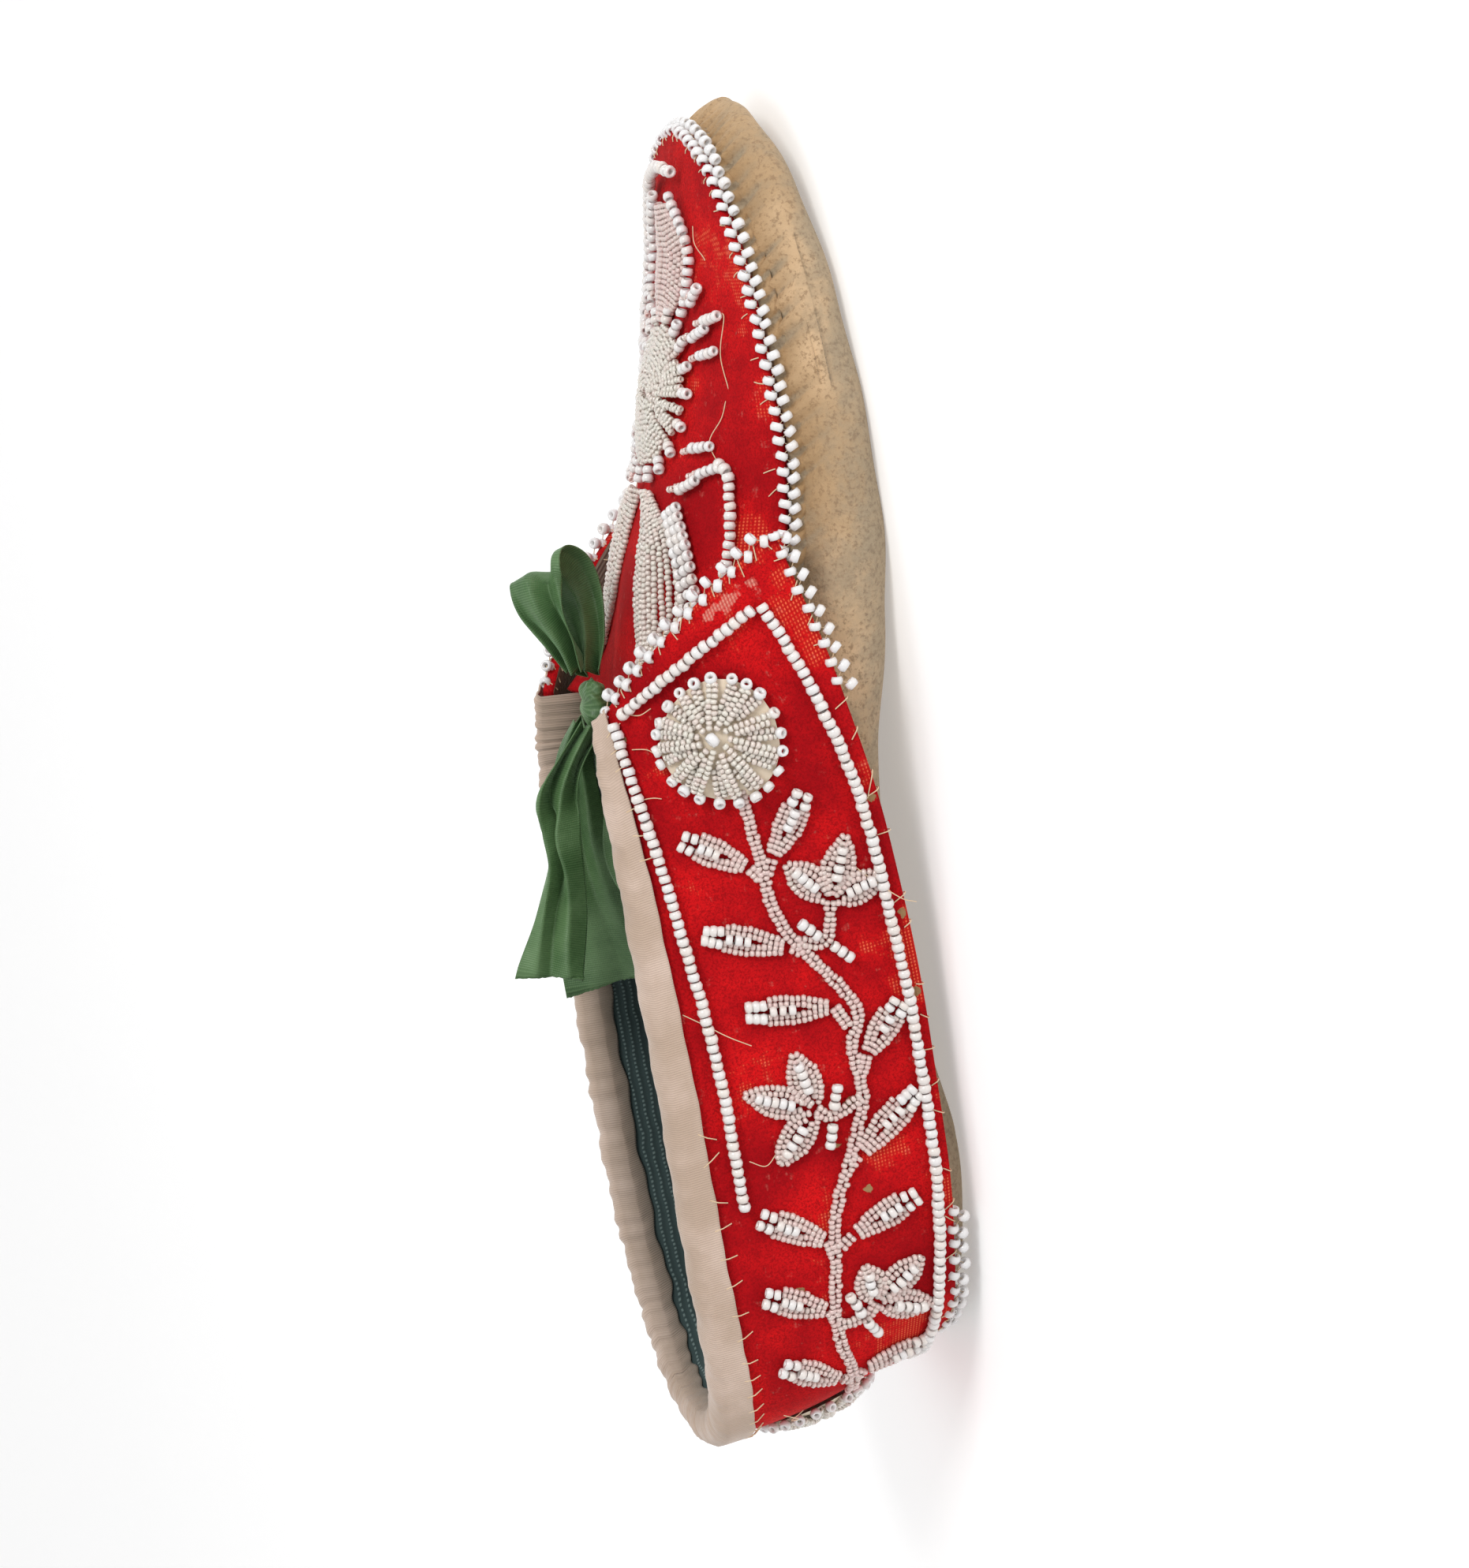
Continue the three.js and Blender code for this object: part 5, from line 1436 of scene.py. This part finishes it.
# %% One strip of ribbon
def ribbon(name, node, stations, frayed=True, seed=0.0):
    """A strip of silk through its stations, pleated where it is drawn in."""
    table = np.array(stations, float)
    path = curve_through(table[:, :3] * RIBBON_WIDTH + knot_middle, 16)
    wide = curve_through(table[:, 3:6], 16)
    spread = np.clip(curve_through(table[:, 6:], 16)[:, 0], 0.15, 0.98)
    tangents = unit(np.gradient(path, axis=0))
    wide = unit(wide - tangents * (wide * tangents).sum(-1, keepdims=True))
    normals = np.cross(tangents, wide)
    shares = np.linspace(-1, 1, RIBBON_ROWS)[:, None]
    reached = reach_along(path)
    drawn_in = np.sqrt(1 - spread ** 2) * np.clip(1.25 - spread, 0.25, 1)
    pleat = RIBBON_WIDTH / (4 * PLEATS) * drawn_in
    drift = seed + 0.06 * reached + 0.5 * np.sin(0.21 * reached + seed)
    wave = np.cos(math.pi * PLEATS * (shares + 0.1 * np.sin(math.pi * shares + drift)) + drift)
    wave = np.arcsin(0.93 * wave) / math.asin(0.93)  # folds in silk are flat between sharp creases
    cup = 0.12 * spread * RIBBON_WIDTH / 2 * (1 - shares ** 2)
    curl = 0.35 * np.sin(0.33 * reached + 2.2 * shares + seed)
    lift = pleat * wave + cup + curl
    spots = path + wide * (shares * spread * RIBBON_WIDTH / 2)[..., None] + normals * lift[..., None]
    if frayed:
        spots[:, -1] += tangents[-1] * (OBLIQUE * shares + dice.normal(0, 0.07, (len(shares), 1)))
    piece = grid_sheet(name, spots, silk_finish)
    thicken(piece, RIBBON_THICKNESS, 0)
    place(piece, "ribbon", node)


# %% The loops, the ends and the tie
for seed, (node, stations) in enumerate(BOW.items()):
    ribbon(node + "_silk", node, stations, "tail" in node, 1.7 * seed)

TIE_RIB, TIE_DEPTH = 6.7, 3.65  # where the tie meets the collar, and how far inside it in mm
tie_end = hide_inner(np.array(TIE_RIB), np.array(3.0), TIE_DEPTH)
tie_low = knot_low[2] - 1.0
tie_stations = []
for share in np.linspace(-1, 1, 7):
    height = tie_low + (tie_end[2] - 2.5 - tie_low) * share ** 2
    spot = (np.array([tie_end[0], share * tie_end[1], height]) - knot_middle) / RIBBON_WIDTH
    tie_stations.append((*spot, 1, 0, 0, 0.3))
ribbon("tie_strand_silk", "tie_strand", tie_stations, False, 0.4)

# %% [markdown]
# The knot is one wrap of the ribbon over itself. A twisted strip would need many stations for a
# piece of this size, so a sphere is pinched in its middle, and creases are pressed into it that
# run round it as the silk's own folds do.

# %% The knot
bpy.ops.object.select_all(action="DESELECT")
bpy.ops.mesh.primitive_uv_sphere_add(segments=56, ring_count=32, radius=1)
knot = bpy.context.object
knot.name = "ribbon_knot_wrap"
ball = np.array([vertex.co for vertex in knot.data.vertices])
around = np.arctan2(ball[:, 2], ball[:, 1])
creases = 0.1 * np.abs(np.sin(2.5 * around + 3.2 * ball[:, 0])) + 0.06 * np.sin(9 * ball[:, 0] + 2 * around)
pinch = 1 - 0.22 * np.exp(-((ball[:, 0] - 0.15) / 0.35) ** 2)
swell = 0.9 + creases - 0.08 * np.abs(ball[:, 0])
ball = ball * swell[:, None] * np.stack([np.ones_like(pinch), pinch, pinch], -1)
ball = ball * (knot_high - knot_low) / 2 + knot_middle
knot.data.vertices.foreach_set("co", (ball * MM).reshape(-1))
bpy.ops.object.shade_smooth()
knot.data.materials.append(silk_finish)
place(knot, "ribbon", "ribbon_knot")

# %% [markdown]
# ## Threads
# Cream thread shows wherever something was sewn down: whipstitches over the velvet's edges, ticks
# along the binding, the thread that carries the zigzag of beads, and a few ends that have come
# loose. Stitches could be drawn in the velvet's finish, but they stand off the cloth and throw
# shadows, so each is a short curve with a round section, and a whole seam is made one mesh.

# %% The threads
THREAD = 0.11  # radius in mm

thread_finish = finish("cream thread", {"Roughness": 0.8, "Sheen Weight": 0.2, "Specular IOR Level": 0.25})
twist = noise(thread_finish, object_place(thread_finish), 900, 2)
drive(thread_finish, "Base Color", blend(thread_finish, twist, (0.66, 0.46, 0.27), (0.80, 0.64, 0.44)))
drive(thread_finish, "Normal", emboss(thread_finish, twist, 0.4, 0.1))


# %% How a seam is made
def sew(name, lines, radius=THREAD):
    """Turns lines of points into one mesh of round threads."""
    curve = bpy.data.curves.new(name, "CURVE")
    curve.dimensions = "3D"
    curve.bevel_depth = radius * MM
    curve.bevel_resolution = 1
    curve.use_fill_caps = True
    for line in lines:
        spline = curve.splines.new("POLY")
        spline.points.add(len(line) - 1)
        with_weights = np.hstack([np.asarray(line) * MM, np.ones((len(line), 1))])
        spline.points.foreach_set("co", with_weights.reshape(-1))
    only(add_object(name, curve))
    bpy.ops.object.convert(target="MESH")
    piece = bpy.context.object
    bpy.ops.object.shade_smooth()
    piece.data.materials.append(thread_finish)
    place(piece, "velvet")


def over_edge(at, inwards, reach):
    """A whipstitch: up the face, over the edge and into the back."""
    rib, down = at
    rib_in, down_in = inwards
    face = cuff_point(rib + rib_in * reach, down + down_in * reach, 0.15)[0]
    edge, normal = cuff_point(rib, down, -CLOTH / 2)
    off = unit(edge - cuff_point(rib + rib_in, down + down_in, -CLOTH / 2)[0])
    back = cuff_point(rib + rib_in * reach, down + down_in * reach, -CLOTH - 0.1)[0]
    top = edge + normal * CLOTH / 2 + off * 0.1
    return curve_through([face, top + normal * 0.12, edge + off * 0.3, back], 4)


# %% The seams
FRONT_STITCH = 0.062  # from stitch to stitch, as a share of the way down
HEM_STITCH, TICK = 0.19, 0.2  # in ribs
stitches = []
for side in (-1, 1):
    for down in np.arange(0.03, 0.97, FRONT_STITCH):
        jitter = 0.01 * dice.normal()
        reach = 0.5 + 0.6 * dice.random()
        inwards = (-side * 0.1, 0.02 * dice.normal())
        stitches.append(over_edge((side * CUFF_END, down + jitter), inwards, reach))
for rib in np.arange(-6.8, 6.8, HEM_STITCH):
    if dice.random() < 0.15:
        continue
    reach = 0.4 + 0.6 * dice.random()
    stitches.append(over_edge((rib + 0.02 * dice.normal(), 1.0), (0.05 * dice.normal(), -0.05), reach))
for rib in np.arange(-6.7, 6.8, TICK):
    if abs(rib) > 3.3 and dice.random() < 0.75:
        continue
    foot = binding_outside(rib) / cuff_height(np.array(rib))
    lean = 0.03 * dice.normal()
    ticks = np.array([(rib, foot - 0.022), (rib + lean / 2, foot + 0.01), (rib + lean, foot + 0.045)])
    lifts = np.array([BINDING_LIFT + 0.3, BINDING_LIFT + 0.35, 0.12])
    stitches.append(cuff_point(ticks[:, 0], ticks[:, 1], lifts)[0])
for rib in np.arange(-12.9, 12.9, HEM_STITCH):
    if abs(rib) < 7.5 or dice.random() < 0.4:
        continue
    ribs = rib + 0.02 * dice.normal() * np.array([0, 1, 2])
    shares = np.array([0.925, 0.955, 0.985]) + 0.01 * dice.normal()
    stitch = vamp_top(ribs, shares)
    stitch[:, 2] += [0.05, 0.25, 0.1]
    stitches.append(stitch)
sew("whipstitches", stitches + carriers)

# %% The loose ends
LOOSE_THREAD = 0.09  # radius in mm
LOOSE_ENDS = (  # places on the cuff's right side and how far each stands off, in mm
    ((5.02, .82, .3), (4.86, .90, 1.2), (4.72, .985, 2.4), (4.66, 1.04, 1.6)),
    ((4.42, .10, .3), (4.33, .17, 1.1), (4.22, .25, 1.6), (4.12, .33, 1.0)),
    ((6.72, .16, .2), (6.62, .22, 1.0), (6.60, .27, .4)),
    ((6.40, .13, .2), (6.30, .2, .8), (6.22, .23, .2), (6.27, .27, .7)),
    ((5.95, .09, .2), (5.9, .17, .9), (5.86, .2, .3)),
    ((3.45, .36, .2), (3.40, .31, 1.1), (3.46, .25, 1.6)),
    ((0.95, .35, .2), (1.10, .28, 1.5), (1.2, .30, 2.3), (1.33, .24, 1.8)),
)
loose = []
for end in LOOSE_ENDS:
    path = curve_through(end, 8)
    loose.append(cuff_point(-path[:, 0], path[:, 1], path[:, 2])[0])
VAMP_ENDS = (  # side, then places in mm from the throat and from the middle, and how far they stand off
    (-1, (41, 24, .2), (45, 22.5, 1.3), (49, 24.5, .6), (52, 25, .2)),
    (-1, (54, 25.5, .1), (60, 24, 1.0), (66, 24.5, .8), (67, 23, .2)),
    (-1, (76, 16, .1), (79, 14.5, 1.2), (82, 12.5, .3)),
    (1, (30, 24, .2), (34, 22.5, 1.1), (37, 24, .3)),
)
for side, *end in VAMP_ENDS:
    path = curve_through(end, 6)
    loose.append(vamp_point(THROAT_X + path[:, 0], side * path[:, 1], path[:, 2])[0])
sew("loose_threads", loose, LOOSE_THREAD)

# %% [markdown]
# ## The floor and the light
# The photograph has a white ground and soft light that comes from above the toe. A plain white
# world would give no shadow for the shoe to stand on, so there is a floor: one pale sheet that
# curves up far behind the shoe, so no line of the room shows. A little light of its own keeps it
# white, and three soft lamps do the rest.

# %% The floor
floor_finish = finish("pale paper", {
    "Roughness": 0.85, "Base Color": (0.86, 0.86, 0.86, 1), "Emission Color": (1, 1, 1, 1),
    "Emission Strength": 0.3,
})
paper = noise(floor_finish, object_place(floor_finish), 400, 2)
drive(floor_finish, "Normal", emboss(floor_finish, paper, 0.05, 0.1))
REACH, BEND_FROM, SWEEP, FLOOR_TOP = 9000.0, 1200.0, 1500, 4200.0
turns = np.linspace(0, np.pi / 2, 25)
profile = [(-REACH, 0.0)]
profile += [(BEND_FROM + SWEEP * math.sin(turn), SWEEP * (1 - math.cos(turn))) for turn in turns]
profile.append((BEND_FROM + SWEEP, FLOOR_TOP))
profile = np.array(profile)
xs = np.linspace(-REACH, REACH, 9)
floor_spots = np.stack(np.broadcast_arrays(xs[None, :], profile[:, :1], profile[:, 1:]), -1)
grid_sheet("floor", floor_spots, floor_finish)

# %% The light
bpy.context.scene.view_settings.view_transform = "Standard"
world = bpy.data.worlds.new("white room")
bpy.context.scene.world = world
world.use_nodes = True
world.node_tree.nodes["Background"].inputs["Color"].default_value = (1, 1, 1, 1)
world.node_tree.nodes["Background"].inputs["Strength"].default_value = 0.55

LIGHTS = (  # name, place in m, size in m, watts
    ("key", (1.05, -0.85, 0.95), 0.6, 12),
    ("fill", (-0.7, -1.2, 0.7), 1.2, 1.5),
    ("top", (0.1, 0.3, 1.5), 1.2, 2.5),
)
for name, where, size, watts in LIGHTS:
    lamp_data = bpy.data.lights.new(name, "AREA")
    lamp_data.size = size
    lamp_data.energy = watts
    lamp = add_object(name, lamp_data)
    towards = np.array([0.08, 0, 0.03]) - np.array(where)
    lamp.rotation_euler = Vector(towards).to_track_quat("-Z", "Y").to_euler()
    lamp.location = where
